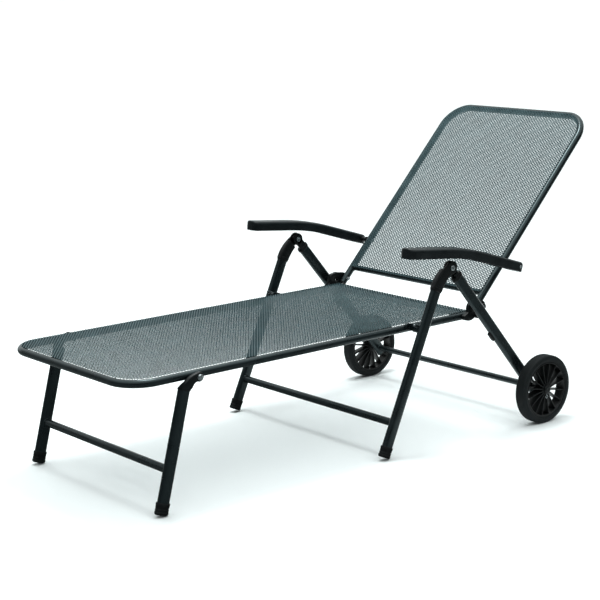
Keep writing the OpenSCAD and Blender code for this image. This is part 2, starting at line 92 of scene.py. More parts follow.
def two_tone(tree, factor, dark, light, low=0.0, high=1.0):
    """A colour that goes from dark to light while the factor goes from low to high."""
    ramp = add(tree, "ShaderNodeValToRGB", {"Fac": factor})
    for stop, (place, colour) in zip(ramp.color_ramp.elements, ((low, dark), (high, light))):
        stop.position = place
        stop.color = linear(colour)
    return ramp.outputs["Color"]


def spread(tree, factor, low, high):
    """The factor 0.3 to 0.7 of a noise, spread over low to high."""
    return add(tree, "ShaderNodeMapRange", {
        "Value": factor, "From Min": 0.3, "From Max": 0.7, "To Min": low, "To Max": high,
    }).outputs["Result"]


def finish_shader(tree, shader):
    """Links a shader to the material's output."""
    add(tree, "ShaderNodeOutputMaterial", {"Surface": shader.outputs["BSDF"]})


def powder_coat(name, dark, light, roughness, gloss, gloss_tint):
    """Polyester powder, sprayed dry and baked: a satin film, anthracite with a cool cast.
    It gives soft highlights broken by a fine orange peel, and a thin film of dust in patches."""
    made, tree, place = blank_material(name)
    peel_width = 0.0016         # orange peel is 1 to 2 mm across
    patch_width = 0.05          # handling and dust vary over hand-sized patches
    peel = add(tree, "ShaderNodeTexNoise", {"Vector": place, "Scale": 1 / peel_width, "Detail": 2.0})
    patch = add(tree, "ShaderNodeTexNoise", {"Vector": place, "Scale": 1 / patch_width, "Detail": 4.0})
    bump = add(tree, "ShaderNodeBump", {
        "Height": peel.outputs["Fac"], "Strength": 0.22, "Distance": 0.0003,
    })
    finish_shader(tree, add(tree, "ShaderNodeBsdfPrincipled", {
        "Base Color": two_tone(tree, patch.outputs["Fac"], dark, light, 0.35, 0.7),
        "Roughness": spread(tree, patch.outputs["Fac"], roughness - 0.04, roughness + 0.06),
        "Normal": bump.outputs["Normal"], "IOR": 1.5,
        "Specular IOR Level": gloss, "Specular Tint": linear(gloss_tint),
    }))
    return made


anthracite_powder_coat = (
    powder_coat("anthracite_powder_coat", "#080d0f", "#0f1517", 0.28, 0.5, "#d8f0f4"), "powder_coated_tube")


def circle(radius, count):
    """Closed section: points at equal angles on a circle."""
    angle = np.arange(count) * 2 * np.pi / count
    return radius * np.stack([np.cos(angle), np.sin(angle)], 1)


def arc(centre, radius, start, end, steps):
    """Points on an arc in a plane, from the start angle to the end angle in degrees."""
    angle = np.radians(np.linspace(start, end, steps + 1))
    return np.asarray(centre) + radius * np.stack([np.cos(angle), np.sin(angle)], 1)


def carried(path, section, normal):
    """Rings of points: at each point of the path the section's first number is measured square
    to the travel in the plane across the normal, and its second along the normal."""
    flat = path - np.outer(path @ normal, normal)
    travel = np.gradient(flat, axis=0)
    travel /= np.linalg.norm(travel, axis=1, keepdims=True)
    side = np.cross(travel, normal)
    section = np.broadcast_to(section, (len(path),) + section.shape[-2:])
    return path[:, None] + section[..., :1] * side[:, None] + section[..., 1:] * np.asarray(normal)


def volume_of(points, faces):
    """Six times the signed volume: the triple products of each face's fan of triangles."""
    p = points - points.mean(0)
    total = 0.0
    for face in faces:
        face = np.atleast_2d(face)
        for k in range(1, face.shape[1] - 1):
            total += np.einsum("ij,ij", p[face[:, 0]], np.cross(p[face[:, k]], p[face[:, k + 1]]))
    return total


def shell(rings, closed=False):
    """Closed surface through rings of points: four-cornered faces between neighbouring rings,
    and a face over each end unless the last ring joins the first, all facing outwards."""
    n, k = rings.shape[:2]
    i, j = np.meshgrid(np.arange(n if closed else n - 1), np.arange(k), indexing="ij")
    corners = [((i + di) % n * k + (j + dj) % k) for di, dj in ((0, 0), (0, 1), (1, 1), (1, 0))]
    quads = np.stack(corners, -1).reshape(-1, 4)
    ends = [] if closed else [np.arange(k)[::-1], np.arange(k) + (n - 1) * k]
    points = rings.reshape(-1, 3)
    if volume_of(points, [quads, *ends]) < 0:
        quads = quads[:, ::-1]
        ends = [end[::-1] for end in ends]
    return points, quads, ends


def piece(name, shells, finish, body, replaced=(), sharp=38):
    """Joins closed shells into one smooth-shaded mesh, creased where faces meet more sharply than
    the given angle, and hands it to its body and the nodes that it stands for. A finish
    is a material and its slot; the slot is not used."""
    material, slot = finish
    points, corners, sizes, base = [], [], [], 0
    for where, quads, ends in shells:
        points.append(where)
        corners += [quads.ravel() + base, *[end + base for end in ends]]
        sizes += [np.full(len(quads), 4), np.array([len(end) for end in ends], int)]
        base += len(where)
    points, corners, sizes = map(np.concatenate, (points, corners, sizes))
    mesh = bpy.data.meshes.new(name)
    mesh.vertices.add(len(points))
    mesh.vertices.foreach_set("co", points.astype(np.float32).ravel())
    mesh.loops.add(len(corners))
    mesh.loops.foreach_set("vertex_index", corners.astype(np.int32))
    mesh.polygons.add(len(sizes))
    mesh.polygons.foreach_set("loop_start", (np.cumsum(sizes) - sizes).astype(np.int32))
    mesh.polygons.foreach_set("use_smooth", np.ones(len(sizes), bool))
    mesh.update(calc_edges=True)
    mesh.set_sharp_from_angle(angle=math.radians(sharp))
    mesh.materials.append(material)
    made = bpy.data.objects.new(name, mesh)
    bpy.context.scene.collection.objects.link(made)
    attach(made, body)
    if replaced:
        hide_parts(*replaced)
    return made


def u_path(back_x, front_x, half_width, bend_r):
    """Centreline of a U-shaped tube: straight legs along x and two quarter bends at front_x."""
    turn = math.copysign(1, back_x - front_x)
    bend = arc((0, 0), bend_r, 90, 180, 20)
    right = np.stack([front_x + turn * (bend_r + bend[:, 0]), half_width - bend_r + bend[:, 1]], 1)
    left = right[::-1] * (1, -1)
    legs = [[back_x, half_width]], [[back_x, -half_width]]
    return np.concatenate([legs[0], right, left, legs[1]])


def level(points, z):
    """Adds a height to points in plan."""
    return np.column_stack([points, np.full(len(points), z)])


def cross_tube(x, z, radius, reach):
    """A straight round tube along y, reaching the same distance both ways."""
    path = np.array([[x, y, z] for y in np.linspace(-reach, reach, 5)])
    rings = carried(path, circle(radius, 28), (0, 0, 1))
    return shell(rings)


deck_tube = carried(level(u_path(deck_end_x, foot_x + tube_r, rail_y, corner_r), rail_z),
                    circle(tube_r, 32), (0, 0, 1))
piece("deck_tube", [shell(deck_tube)], anthracite_powder_coat, "deck",
      ["deck_foot_tube", "deck_rail_left", "deck_rail_right"])

rear_low, rear_high = map(np.array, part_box("deck_rear_tube"))
rear_tube_r = (rear_high[2] - rear_low[2]) / 2
rear_tube_x = rear_high[0] - rear_tube_r
piece("deck_back_tube", [cross_tube(rear_tube_x, rail_z, rear_tube_r, rail_y - tube_r + weld_sink)],
      anthracite_powder_coat, "deck", ["deck_rear_tube"])


# ---------------------------------------------------------------- weld beads
# Every cross tube is welded all round to the tube that it meets. The beads are laid by hand,
# rippled about every 2 mm, and lie under the same powder coat.

bead_r = 0.0021
ripple = 0.0021


def bead(at, face_y, radius, across=(0.0, 1.0), flat=0.0, round_r=tube_r):
    """A rippled ring round a tube along y where it meets another tube. The meeting line follows
    the other tube's rounded side: past its flat part, u out of its middle, it falls back by
    round_r minus the root of round_r squared less the rest of u squared."""
    turn = np.arange(84) * 2 * np.pi / 84
    out = np.stack([np.cos(turn), np.sin(turn)], 1)
    u = np.clip(np.abs(radius * out @ np.asarray(across)) - flat, 0, round_r)
    fall = round_r - np.sqrt(round_r ** 2 - np.clip(u, 0, round_r * 0.98) ** 2)
    size = bead_r * (1 + 0.13 * np.cos(turn * round(2 * np.pi * radius / ripple)))
    around = circle(1.0, 8)
    side = math.copysign(1, face_y)
    r = radius + size[:, None] * around[None, :, 0]
    y = side * (abs(face_y) + fall[:, None] + size[:, None] * around[None, :, 1])
    rings = np.stack([at[0] + r * out[:, :1], np.broadcast_to(y, r.shape), at[1] + r * out[:, 1:]], -1)
    return shell(rings, closed=True)


piece("deck_welds", [bead((rear_tube_x, rail_z), s * (rail_y - tube_r), rear_tube_r) for s in (1, -1)],
      anthracite_powder_coat, "deck", sharp=80)


# ---------------------------------------------------------------- expanded metal lying surface
# The lying surface is steel sheet, slit and drawn into expanded metal: bent strands that meet at
# knuckles and lie tilted, like a louvre. Its cut edges lie on the tubes and are spot welded.

short_way = 0.0092          # from knuckle to knuckle along the lounger
long_way = 0.0115           # from knuckle to knuckle across it
strand_w = 0.0028
strand_t = 0.0008
strand_tilt = math.radians(-22)
knuckle = 0.0011            # half the length of a knuckle
sheet_mid = 0.0013          # from the tube's top line up to the middle of the sheet
sheet_inset = 0.0015        # from the tube's top line in to the sheet's cut edge


def drawn_strands(rows, bend_r):
    """Expanded metal on a plane, in rows of strands that run across it. Row k lies at k + 1/2
    short half-ways and swings to and fro by a flat-topped wave of one long way, each row against
    its neighbours, and rises and falls with it, so that two rows share each knuckle's tilted plane.
    A strand is a four-sided bar. Returns how far each point is along the sheet from its rounded
    edge, across it and above it, and the faces."""
    row = np.arange(*rows)
    middle = (row + 0.5) * short_way / 2
    outer_r = bend_r - sheet_inset
    into_corner = np.clip(outer_r - middle, 0, None)
    reach = rail_y - bend_r + np.sqrt(outer_r ** 2 - into_corner ** 2)
    half_ways = math.ceil(reach.max() / (long_way / 2))
    crest = np.repeat(np.arange(-half_ways, half_ways + 1), 2)
    crest_at = crest * long_way / 2 + np.tile([-knuckle, knuckle], 2 * half_ways + 1)
    wave = np.where(crest % 2 == 0, 1.0, -1.0)
    t = np.clip(crest_at[None], -reach[:, None], reach[:, None])
    joined = 0.44 * (strand_w * math.cos(strand_tilt) + strand_t * abs(math.sin(strand_tilt)))
    swing = short_way / 4 - joined
    to_and_fro = np.where(row % 2 == 0, 1, -1)[:, None] * np.interp(t, crest_at, wave)
    s = middle[:, None] + swing * to_and_fro
    u, v = np.array([(1, 1), (-1, 1), (-1, -1), (1, -1)]).T * np.array([[strand_w / 2], [strand_t / 2]])
    ds = u * math.cos(strand_tilt) - v * math.sin(strand_tilt)
    dn = u * math.sin(strand_tilt) + v * math.cos(strand_tilt)
    along = s[..., None] + ds
    across = np.broadcast_to(t[..., None], along.shape)
    above = sheet_mid - joined * math.tan(strand_tilt) * to_and_fro[..., None] + dn
    points = np.stack([along, across, above], -1).reshape(-1, 3)
    kept = np.diff(t, axis=1) > 1e-6
    i, j = np.nonzero(kept)
    first = (i * t.shape[1] + j) * 4
    sides = [np.stack([first + c, first + (c + 1) % 4, first + 4 + (c + 1) % 4, first + 4 + c], -1)
             for c in range(4)]
    start = (np.arange(len(row)) * t.shape[1] + kept.argmax(1)) * 4
    end = (np.arange(len(row)) * t.shape[1] + kept.shape[1] - kept[:, ::-1].argmax(1)) * 4
    faces = np.concatenate([*sides, start[:, None] + (3, 2, 1, 0), end[:, None] + (0, 1, 2, 3)])
    used, faces = np.unique(faces, return_inverse=True)
    return points[used], faces.reshape(-1, 4)


def metal_panel(rows, bend_r, to_place):
    """One panel of the sheet as a closed shell; to_place turns along, across, above into x, y, z."""
    points, faces = drawn_strands(rows, bend_r)
    points = to_place(*points.T)
    if volume_of(points, [faces]) < 0:
        faces = faces[:, ::-1]
    return points, faces, []


def expanded_sheet(name, length, panels, bend_r, to_place, body, node):
    """The whole sheet in panels of equal length, each one piece."""
    count = int(length / (short_way / 2))
    ends = np.linspace(0, count, panels + 1).astype(int)
    for k in range(panels):
        shells = [metal_panel((ends[k], ends[k + 1]), bend_r, to_place)]
        piece(f"{name}_{k + 1}", shells, coated_expanded_metal, body, [node], sharp=20)


# The strands wear the same anthracite coat as the frame but are coloured far lighter. This is partly their
# own coat and partly painted sheen, which stands in for the light they catch from above.
coated_expanded_metal = (
    powder_coat("coated_expanded_metal", "#314145", "#3e5054", 0.34, 0.7, "#c0e0e4"), "coated_mesh")
sheet_foot_x = foot_x + tube_r + sheet_inset
expanded_sheet("deck_expanded_metal", deck_end_x - sheet_foot_x, 3, corner_r,
               lambda along, across, above: np.column_stack(
                   [sheet_foot_x + along, across, rail_z + tube_r + above]), "deck", "deck_mesh")


# ---------------------------------------------------------------- backrest
# The back is a second U of the same tube, closed at the head end, with a thinner cross tube low
# down and its own expanded metal on the front face. It turns on bolts through its open ends.

hinge = pivot["backrest_recline"]
back_angle = math.radians(next(j for j in frame["joints"]
                               if j["name"] == "backrest_recline")["range_deg"][1])
back_tail = 0.017
back_bar_s = 0.044
back_bar_r = 0.009
up_back = np.array([math.cos(back_angle), 0, math.sin(back_angle)])
off_back = np.array([-math.sin(back_angle), 0, math.cos(back_angle)])
back_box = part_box("backrest_frame")
back_len = (back_box[1][2] - tube_r - hinge[2]) / math.sin(back_angle)


def on_back(s, y, n):
    """Points of the back: s up its slope from the hinge, y across, n off its front face."""
    return hinge + np.multiply.outer(s, up_back) + np.multiply.outer(n, off_back) + \
        np.multiply.outer(y, (0, 1, 0))


back_u = u_path(-back_tail, back_len, rail_y, corner_r)
back_path = on_back(back_u[:, 0], back_u[:, 1], np.zeros(len(back_u)))
piece("backrest_tube", [shell(carried(back_path, circle(tube_r, 32), off_back))],
      anthracite_powder_coat, "backrest", ["backrest_frame"])
bar_at = on_back(back_bar_s, 0.0, 0.0)
piece("backrest_low_tube", [cross_tube(bar_at[0], bar_at[2], back_bar_r, rail_y - tube_r + weld_sink)],
      anthracite_powder_coat, "backrest", ["backrest_crossbar"])
piece("backrest_welds", [bead((bar_at[0], bar_at[2]), s * (rail_y - tube_r), back_bar_r,
                              across=(off_back[0], off_back[2])) for s in (1, -1)],
      anthracite_powder_coat, "backrest", sharp=80)
sheet_start = back_bar_s - 0.007
expanded_sheet("backrest_expanded_metal", back_len - sheet_inset - sheet_start, 2, corner_r,
               lambda along, across, above: on_back(back_len - sheet_inset - along, across,
                                                    tube_r + above), "backrest", "backrest_mesh")


# ---------------------------------------------------------------- legs
# The legs are flat oval steel tube, 35 by 20 mm, coated like the deck. Two pairs stand on the
# ground, joined low down by round cross tubes; the rear pair runs from the knee to the axle.

leg_w = 0.035
leg_t = 0.020
front_y = 0.300
side_y = 0.343
front_lean = math.radians(14.9)
middle_lean = math.radians(24.4)
front_ground_x = foot_x + 0.085         # where the legs' axes meet the ground
middle_ground_x = foot_x + 0.822
leg_low_z = 0.014                       # the tubes' lower ends, inside the foot caps
knee = pivot["rear_leg_fold"]
axle = pivot["wheel_left_spin"] * (1, 0, 1)
leg_hinge = pivot["leg_fold"]
fold_hinge = pivot["front_leg_fold"]
across_y = np.array([0.0, 1.0, 0.0])


def oval(width, thickness, steps=10):
    """Closed section: two half circles of the thickness, joined by flats to the width."""
    half = np.radians(np.linspace(-90, 90, steps + 1))
    cap = thickness / 2 * np.stack([np.cos(half), np.sin(half)], 1)
    right = cap + ((width - thickness) / 2, 0)
    return np.concatenate([right, -right])


def straight(start, direction, section, profile):
    """Rings along a straight line in an upright plane: profile gives the distance along it and
    how much smaller the section is all round; section(inset) is the outline."""
    direction = np.asarray(direction) / np.linalg.norm(direction)
    side = np.cross(direction, across_y)
    rings = [start + d * direction + s[:, :1] * side + s[:, 1:] * across_y
             for d, s in ((d, section(inset)) for d, inset in profile)]
    return np.array(rings)


def leg_oval(extra_w=0.0, extra_t=0.0):
    """The leg's section, grown by the given amounts, as a function of the inset."""
    return lambda inset: oval(leg_w + extra_w - 2 * inset, leg_t + extra_t - 2 * inset)


def lean_at(ground_x, lean, y, z):
    """The point of a leaning leg's axis at height z."""
    return np.array([ground_x + z * math.tan(lean), y, z])


def leg_tube(ground_x, lean, y, top_z):
    """A leaning oval tube from inside its foot cap to its top."""
    bottom = lean_at(ground_x, lean, y, leg_low_z)
    top = lean_at(ground_x, lean, y, top_z)
    length = np.linalg.norm(top - bottom)
    return shell(straight(bottom, top - bottom, leg_oval(), [(0, 0), (length / 2, 0), (length, 0)]))


sides = (("left", -1), ("right", 1))
front_top_z = rail_z - tube_r - 0.022
middle_top_z = knee[2] - 0.062
front_bar_z = 0.118
middle_bar_z = 0.101
leg_bar_r = 0.011
axle_tube_r = 0.0095
for name, ground_x, lean, y, top_z, z in (
        ("front", front_ground_x, front_lean, front_y, front_top_z, front_bar_z),
        ("middle", middle_ground_x, middle_lean, side_y, middle_top_z, middle_bar_z)):
    body = f"{name}_legs"
    for side_name, s in sides:
        piece(f"{name}_leg_tube_{side_name}", [leg_tube(ground_x, lean, s * y, top_z)],
              anthracite_powder_coat, body, [f"{name}_leg_{side_name}"])
    at = lean_at(ground_x, lean, 0, z)
    piece(f"{name}_cross_tube", [cross_tube(at[0], z, leg_bar_r, y - leg_t / 2 + weld_sink)],
          anthracite_powder_coat, body, [f"{name}_crossbar"])
    piece(f"{name}_leg_welds",
          [bead((at[0], z), s * (y - leg_t / 2), leg_bar_r, (math.cos(lean), -math.sin(lean)),
                (leg_w - leg_t) / 2, leg_t / 2) for s in (1, -1)],
          anthracite_powder_coat, body, sharp=80)

rear_down = (axle - knee) / np.linalg.norm(axle - knee)
rear_len = np.linalg.norm(axle - knee)
head_len = 0.046
rear_end = rear_len + 0.020     # the tube runs on past the axle
for side_name, s in sides:
    start = knee + (0, s * side_y, 0) + head_len * rear_down
    rings = straight(start, rear_down, leg_oval(), [(0, 0), (0.2, 0), (rear_end - head_len, 0)])
    piece(f"rear_leg_tube_{side_name}", [shell(rings)], anthracite_powder_coat, "rear_legs",
          [f"rear_leg_{side_name}"])
piece("axle_cover_tube", [cross_tube(axle[0], axle[2], axle_tube_r, side_y - leg_t / 2 + weld_sink)],
      anthracite_powder_coat, "rear_legs", ["axle_tube"])
piece("axle_welds", [bead((axle[0], axle[2]), s * (side_y - leg_t / 2), axle_tube_r,
                          (rear_down[2], -rear_down[0]), (leg_w - leg_t) / 2, leg_t / 2)
                     for s in (1, -1)],
      anthracite_powder_coat, "rear_legs", sharp=80)


# ---------------------------------------------------------------- rubber feet
# Moulded rubber caps pushed on the four standing legs. Each has a thicker lip at its mouth, two
# grip rings and a rounded sole.


def rubber(name, dark, light, grain_width):
    """Vulcanised rubber from a spark-eroded mould: matt, near black and grained, with paler
    patches of dust. The real grain is about 0.3 mm and is drawn coarser, so that it shows."""
    made, tree, place = blank_material(name)
    grain = add(tree, "ShaderNodeTexNoise", {"Vector": place, "Scale": 1 / grain_width, "Detail": 3.0})
    dust_width = 0.018
    dust = add(tree, "ShaderNodeTexNoise", {"Vector": place, "Scale": 1 / dust_width, "Detail": 5.0})
    bump = add(tree, "ShaderNodeBump", {
        "Height": grain.outputs["Fac"], "Strength": 0.35, "Distance": 0.0004,
    })
    finish_shader(tree, add(tree, "ShaderNodeBsdfPrincipled", {
        "Base Color": two_tone(tree, dust.outputs["Fac"], dark, light, 0.4, 0.75),
        "Roughness": spread(tree, dust.outputs["Fac"], 0.62, 0.78),
        "Normal": bump.outputs["Normal"], "IOR": 1.52, "Specular IOR Level": 0.2,
    }))
    return made


foot_rubber = (rubber("foot_rubber", "#0b0e0f", "#121617", 0.0009), "foot_rubber")
cap_w = leg_w + 0.005
cap_t = leg_t + 0.006
cap_h = 0.032
cap_profile = [(0, 0.0040), (0.0006, 0.0022), (0.0018, 0.0010), (0.0040, 0.0003), (0.0062, 0.0),
               (0.0085, 0.0003), (0.0092, 0.0014), (0.0104, 0.0014), (0.0111, 0.0004), (0.0160, 0.0006),
               (0.0167, 0.0015), (0.0177, 0.0015), (0.0184, 0.0005), (0.0255, 0.0006), (0.0262, 0.0),
               (0.0305, 0.0), (0.0315, 0.0004), (cap_h, 0.0012)]
for name, ground_x, lean, y in (("front", front_ground_x, front_lean, front_y),
                                ("middle", middle_ground_x, middle_lean, side_y)):
    for side_name, s in sides:
        up = np.array([math.sin(lean), 0, math.cos(lean)])
        start = np.array([ground_x, s * y, 0]) + up * cap_w / 2 * math.tan(lean)
        rings = straight(start, up, leg_oval(cap_w - leg_w, cap_t - leg_t), cap_profile)
        piece(f"{name}_rubber_cap_{side_name}", [shell(rings)], foot_rubber, f"{name}_legs",
              [f"{name}_foot_{side_name}"], sharp=60)


# ---------------------------------------------------------------- moulded elbows and heads
# Glass-filled nylon mouldings, black, pushed on the leg tubes. The front elbows curve up to bolts in
# the deck tube, the middle heads curve back to the knee, and the rear heads meet them half lapped.


def moulded(name, dark, light, grain_width, roughness):
    """Injection-moulded plastic from a textured mould: near black, satin, with an even grain and
    faint paler flow patches. The real grain is about 0.2 mm and is drawn coarser, so that it shows."""
    made, tree, place = blank_material(name)
    grain = add(tree, "ShaderNodeTexNoise", {"Vector": place, "Scale": 1 / grain_width, "Detail": 2.0})
    flow_width = 0.03
    flow = add(tree, "ShaderNodeTexNoise", {"Vector": place, "Scale": 1 / flow_width, "Detail": 3.0})
    bump = add(tree, "ShaderNodeBump", {
        "Height": grain.outputs["Fac"], "Strength": 0.25, "Distance": 0.0003,
    })
    finish_shader(tree, add(tree, "ShaderNodeBsdfPrincipled", {
        "Base Color": two_tone(tree, flow.outputs["Fac"], dark, light, 0.35, 0.75),
        "Roughness": spread(tree, flow.outputs["Fac"], roughness - 0.03, roughness + 0.07),
        "Normal": bump.outputs["Normal"], "IOR": 1.49, "Specular IOR Level": 0.22,
    }))
    return made


black_nylon = (moulded("black_nylon", "#090c0d", "#101415", 0.0008, 0.36), "moulded_plastic")


def rounded_box(width, height, radius, steps=4):
    """Closed section: a rectangle with quarter-circle corners."""
    quarters = [np.linspace(q, q + 90, steps + 1) for q in (0, 90, 180, 270)]
    angle = np.radians(np.concatenate(quarters))
    corner = np.repeat([(1, 1), (-1, 1), (-1, -1), (1, -1)], steps + 1, axis=0)
    return corner * (width / 2 - radius, height / 2 - radius) + \
        radius * np.stack([np.cos(angle), np.sin(angle)], 1)


def eased(thickness, radius, steps=4):
    """Rounded-over edges of a plate: pairs of depth through the plate and inset."""
    angle = np.radians(np.linspace(0, 90, steps + 1))
    rise, inset = radius * np.sin(angle), radius * (1 - np.cos(angle))
    near = np.stack([radius - rise, inset], 1)[::-1]
    return np.concatenate([near, np.stack([thickness - near[::-1, 0], near[::-1, 1]], 1)])


def outward_of(outline):
    """Unit normals of a closed outline in a plane, pointing out of it."""
    step = np.roll(outline, -1, 0) - np.roll(outline, 1, 0)
    normal = np.stack([step[:, 1], -step[:, 0]], 1)
    area = np.sum(outline[:, 0] * np.roll(outline[:, 1], -1) - np.roll(outline[:, 0], -1) * outline[:, 1])
    return math.copysign(1, area) * normal / np.linalg.norm(normal, axis=1, keepdims=True)


def plate(outline, y0, y1, edge):
    """A flat moulding: an outline in x and z, from y0 to y1, with its two rims rounded over."""
    outward = outward_of(outline)
    rings = [np.column_stack([o[:, 0], np.full(len(o), y0 + math.copysign(depth, y1 - y0)), o[:, 1]])
             for depth, o in ((d, outline - i * outward) for d, i in eased(abs(y1 - y0), edge))]
    return shell(np.array(rings))


def disc(at, radius, y0, y1, edge, count=40):
    """A round flat moulding about an axis along y."""
    return plate(np.asarray(at)[[0, -1]] + circle(radius, count), y0, y1, edge)


def leg_arc(start, end, lean, steps=14):
    """Arc in x and z that leaves the start along a leg's lean and bends over to the end. Its
    radius is the chord squared over twice the chord's part across the leg."""
    across = np.array([math.cos(lean), -math.sin(lean)])
    chord = end - start
    radius = chord @ chord / (2 * chord @ across)
    centre = start + radius * across
    first = math.degrees(math.atan2(*(start - centre)[::-1]))
    last = math.degrees(math.atan2(*(end - centre)[::-1]))
    return arc(centre, radius, first, last, steps)


def upright(points, y):
    """Turns points in x and z into x, y, z; y is one number or one for each point."""
    return np.column_stack([points[:, 0], np.broadcast_to(y, len(points)), points[:, 1]])


def morph(path, widths, thicknesses, radius):
    """One rounded box section for each point of the path, with widths and thicknesses spread
    evenly along it from their first to their last value."""
    t = np.linspace(0, 1, len(path))
    w = np.interp(t, np.linspace(0, 1, len(widths)), widths)
    h = np.interp(t, np.linspace(0, 1, len(thicknesses)), thicknesses)
    return np.array([rounded_box(a, b, min(radius, b * 0.45)) for a, b in zip(w, h)])


elbow_in_y = rail_y + tube_r + 0.0006
elbow_t = 0.014
elbow_arm = 0.024
elbow_rise = 0.017          # height over which an elbow crosses from its leg to the tube's side
elbow_lip = [(0, 0.0006), (0.0005, 0), (0.005, 0), (0.0065, 0.002)]
elbow_root = lean_at(front_ground_x, front_lean, 0, front_top_z - 0.001)[[0, 2]]
for side_name, s in sides:
    curve = leg_arc(elbow_root, fold_hinge[[0, 2]], front_lean, 18)
    rise = np.clip((curve[:, 1] - elbow_root[1]) / elbow_rise, 0, 1)
    y = front_y + (elbow_in_y + elbow_t / 2 - front_y) * rise * rise * (3 - 2 * rise)
    sections = morph(curve, (leg_w, 0.029, elbow_arm, elbow_arm), (leg_t, 0.015, elbow_t, elbow_t), 0.0055)
    shells = [shell(carried(upright(curve, s * y), sections, across_y)),
              disc(fold_hinge, elbow_arm / 2 + 0.001, s * elbow_in_y, s * (elbow_in_y + elbow_t), 0.003),
              disc(fold_hinge, elbow_arm / 2 - 0.002, s * (elbow_in_y + elbow_t - 0.002),
                   s * (elbow_in_y + elbow_t + 0.0004), 0.0003)]
    root = lean_at(front_ground_x, front_lean, s * front_y, front_top_z - 0.0005)
    up = (math.sin(front_lean), 0, math.cos(front_lean))
    shells.append(shell(straight(root, up, leg_oval(0.0012, 0.0012), elbow_lip)))
    piece(f"front_hook_{side_name}", shells, black_nylon, "front_legs",
          [f"front_elbow_{side_name}"])

lap_gap = 0.0004
eye_r = 0.020
leg_in = side_y - leg_t / 2
leg_out = side_y + leg_t / 2
tongue_w = 0.010
tongue_top = knee[2] + 0.031
head_root = lean_at(middle_ground_x, middle_lean, 0, middle_top_z + 0.004)[[0, 2]]
head_widths = (0.0365, 0.0375, 0.0360, 0.0345)
lap_w = 0.0335
collar_profile = [(0, 0.0014), (0.0006, 0.0004), (0.0016, 0), (0.0098, 0), (0.0112, 0.0008),
                  (0.0120, 0.0024)]
for side_name, s in sides:
    curve = leg_arc(head_root, knee[[0, 2]], middle_lean, 20)
    from_knee = np.linalg.norm(curve - knee[[0, 2]], axis=1)
    full = curve[from_knee > eye_r + 0.0012]
    lap = side_y + lap_gap / 2
    collar = lean_at(middle_ground_x, middle_lean, s * side_y, middle_top_z)
    up = (math.sin(middle_lean), 0, math.cos(middle_lean))
    tongue = knee[[0, 2]] + rounded_box(tongue_w, 2 * (tongue_top - knee[2]), 0.004)
    tongue = tongue[tongue[:, 1] > knee[2]]
    shells = [shell(straight(collar, up, leg_oval(0.004, 0.003), collar_profile)),
              shell(carried(upright(full, s * side_y), morph(full, head_widths, (leg_t, leg_t), 0.0045),
                            across_y)),
              shell(carried(upright(curve[len(full) - 2:-2], s * (lap + leg_out) / 2),
                            rounded_box(lap_w, leg_out - lap - 0.0006, 0.003), across_y)),
              disc(knee, eye_r, s * lap, s * leg_out, 0.0035, 56),
              plate(tongue, s * lap, s * (leg_out - 0.0002), 0.0015)]
    piece(f"middle_knee_head_{side_name}", shells, black_nylon, "middle_legs",
          [f"middle_head_{side_name}"])

neck_w = 0.026
outer_neck_w = 0.0155
for side_name, s in sides:
    lap = side_y - lap_gap / 2
    place = knee + (0, s * side_y, 0)
    inner_neck = np.array([(knee + d * rear_down)[[0, 2]] for d in (0.008, 0.018, 0.028, 0.040)])
    outer_neck = np.array([(knee + d * rear_down)[[0, 2]] for d in (0.0235, 0.030, 0.040)])
    shells = [shell(straight(place + (head_len - 0.012) * rear_down, rear_down, leg_oval(0.004, 0.003),
                             [(0.012 - d, i) for d, i in collar_profile])),
              shell(carried(upright(inner_neck, s * (leg_in + lap) / 2),
                            rounded_box(neck_w, lap - leg_in, 0.003), across_y)),
              shell(carried(upright(outer_neck, s * (lap + leg_out) / 2 - s * 0.0004),
                            rounded_box(outer_neck_w, leg_out - lap, 0.003), across_y)),
              disc(knee, eye_r - 0.001, s * leg_in, s * lap, 0.0025, 56)]
    piece(f"rear_knee_head_{side_name}", shells, black_nylon, "rear_legs",
          [f"rear_head_{side_name}"])


# ---------------------------------------------------------------- brackets at the hinges
# The middle legs turn on a coated steel plate with a round boss, welded to each side tube. A black
# moulded bracket with a see-through hole is bolted to each end and carries the back.

plate_tilt = math.radians(18)
plate_y = rail_y + tube_r - weld_sink
boss_r = 0.012


def tilted_oval(at, width, thickness, steps):
    """A flat oval outline about a point in x and z, its length tilted down towards the head end."""
    along = np.array([math.cos(plate_tilt), -math.sin(plate_tilt)])
    across = np.array([math.sin(plate_tilt), math.cos(plate_tilt)])
    flat = oval(width, thickness, steps)
    return at + flat[:, :1] * along + flat[:, 1:] * across


for side_name, s in sides:
    outline = tilted_oval(leg_hinge[[0, 2]], 0.070, 0.020, 12)
    shells = [plate(outline, s * (plate_y - 0.003), s * (plate_y + 0.005), 0.0012),
              disc(leg_hinge, boss_r, s * (plate_y + 0.004), s * (leg_in - 0.0004), 0.0012)]
    piece(f"middle_leg_plate_{side_name}", shells, anthracite_powder_coat, "deck",
          [f"middle_bracket_{side_name}"])

bracket_y = rail_y + tube_r + 0.0005
bracket_t = 0.013
bracket_bolt = np.array([deck_end_x - 0.034, rail_z])
stud_station = 0.225        # from the knee down the rear leg to the stud
stud = knee + rear_down * stud_station
stud_r = 0.006
stud_gap = 0.0003
window = hinge[[0, 2]] + (-0.028, -0.004)
window_r = 0.0055


def rounded_outline(corners, radii, steps=6):
    """A closed outline with a curve in place of each corner: a quadratic blend that starts and
    ends at the given distance from the corner along its two sides."""
    corners = np.asarray(corners, float)
    before, after = np.roll(corners, 1, 0) - corners, np.roll(corners, -1, 0) - corners
    t = np.linspace(0, 1, steps + 1)[:, None]
    parts = []
    for at, a, b, r in zip(corners, before, after, radii):
        start = at + a * min(0.49, r / np.linalg.norm(a))
        end = at + b * min(0.49, r / np.linalg.norm(b))
        parts.append((1 - t) ** 2 * start + 2 * t * (1 - t) * at + t ** 2 * end)
    return np.concatenate(parts)


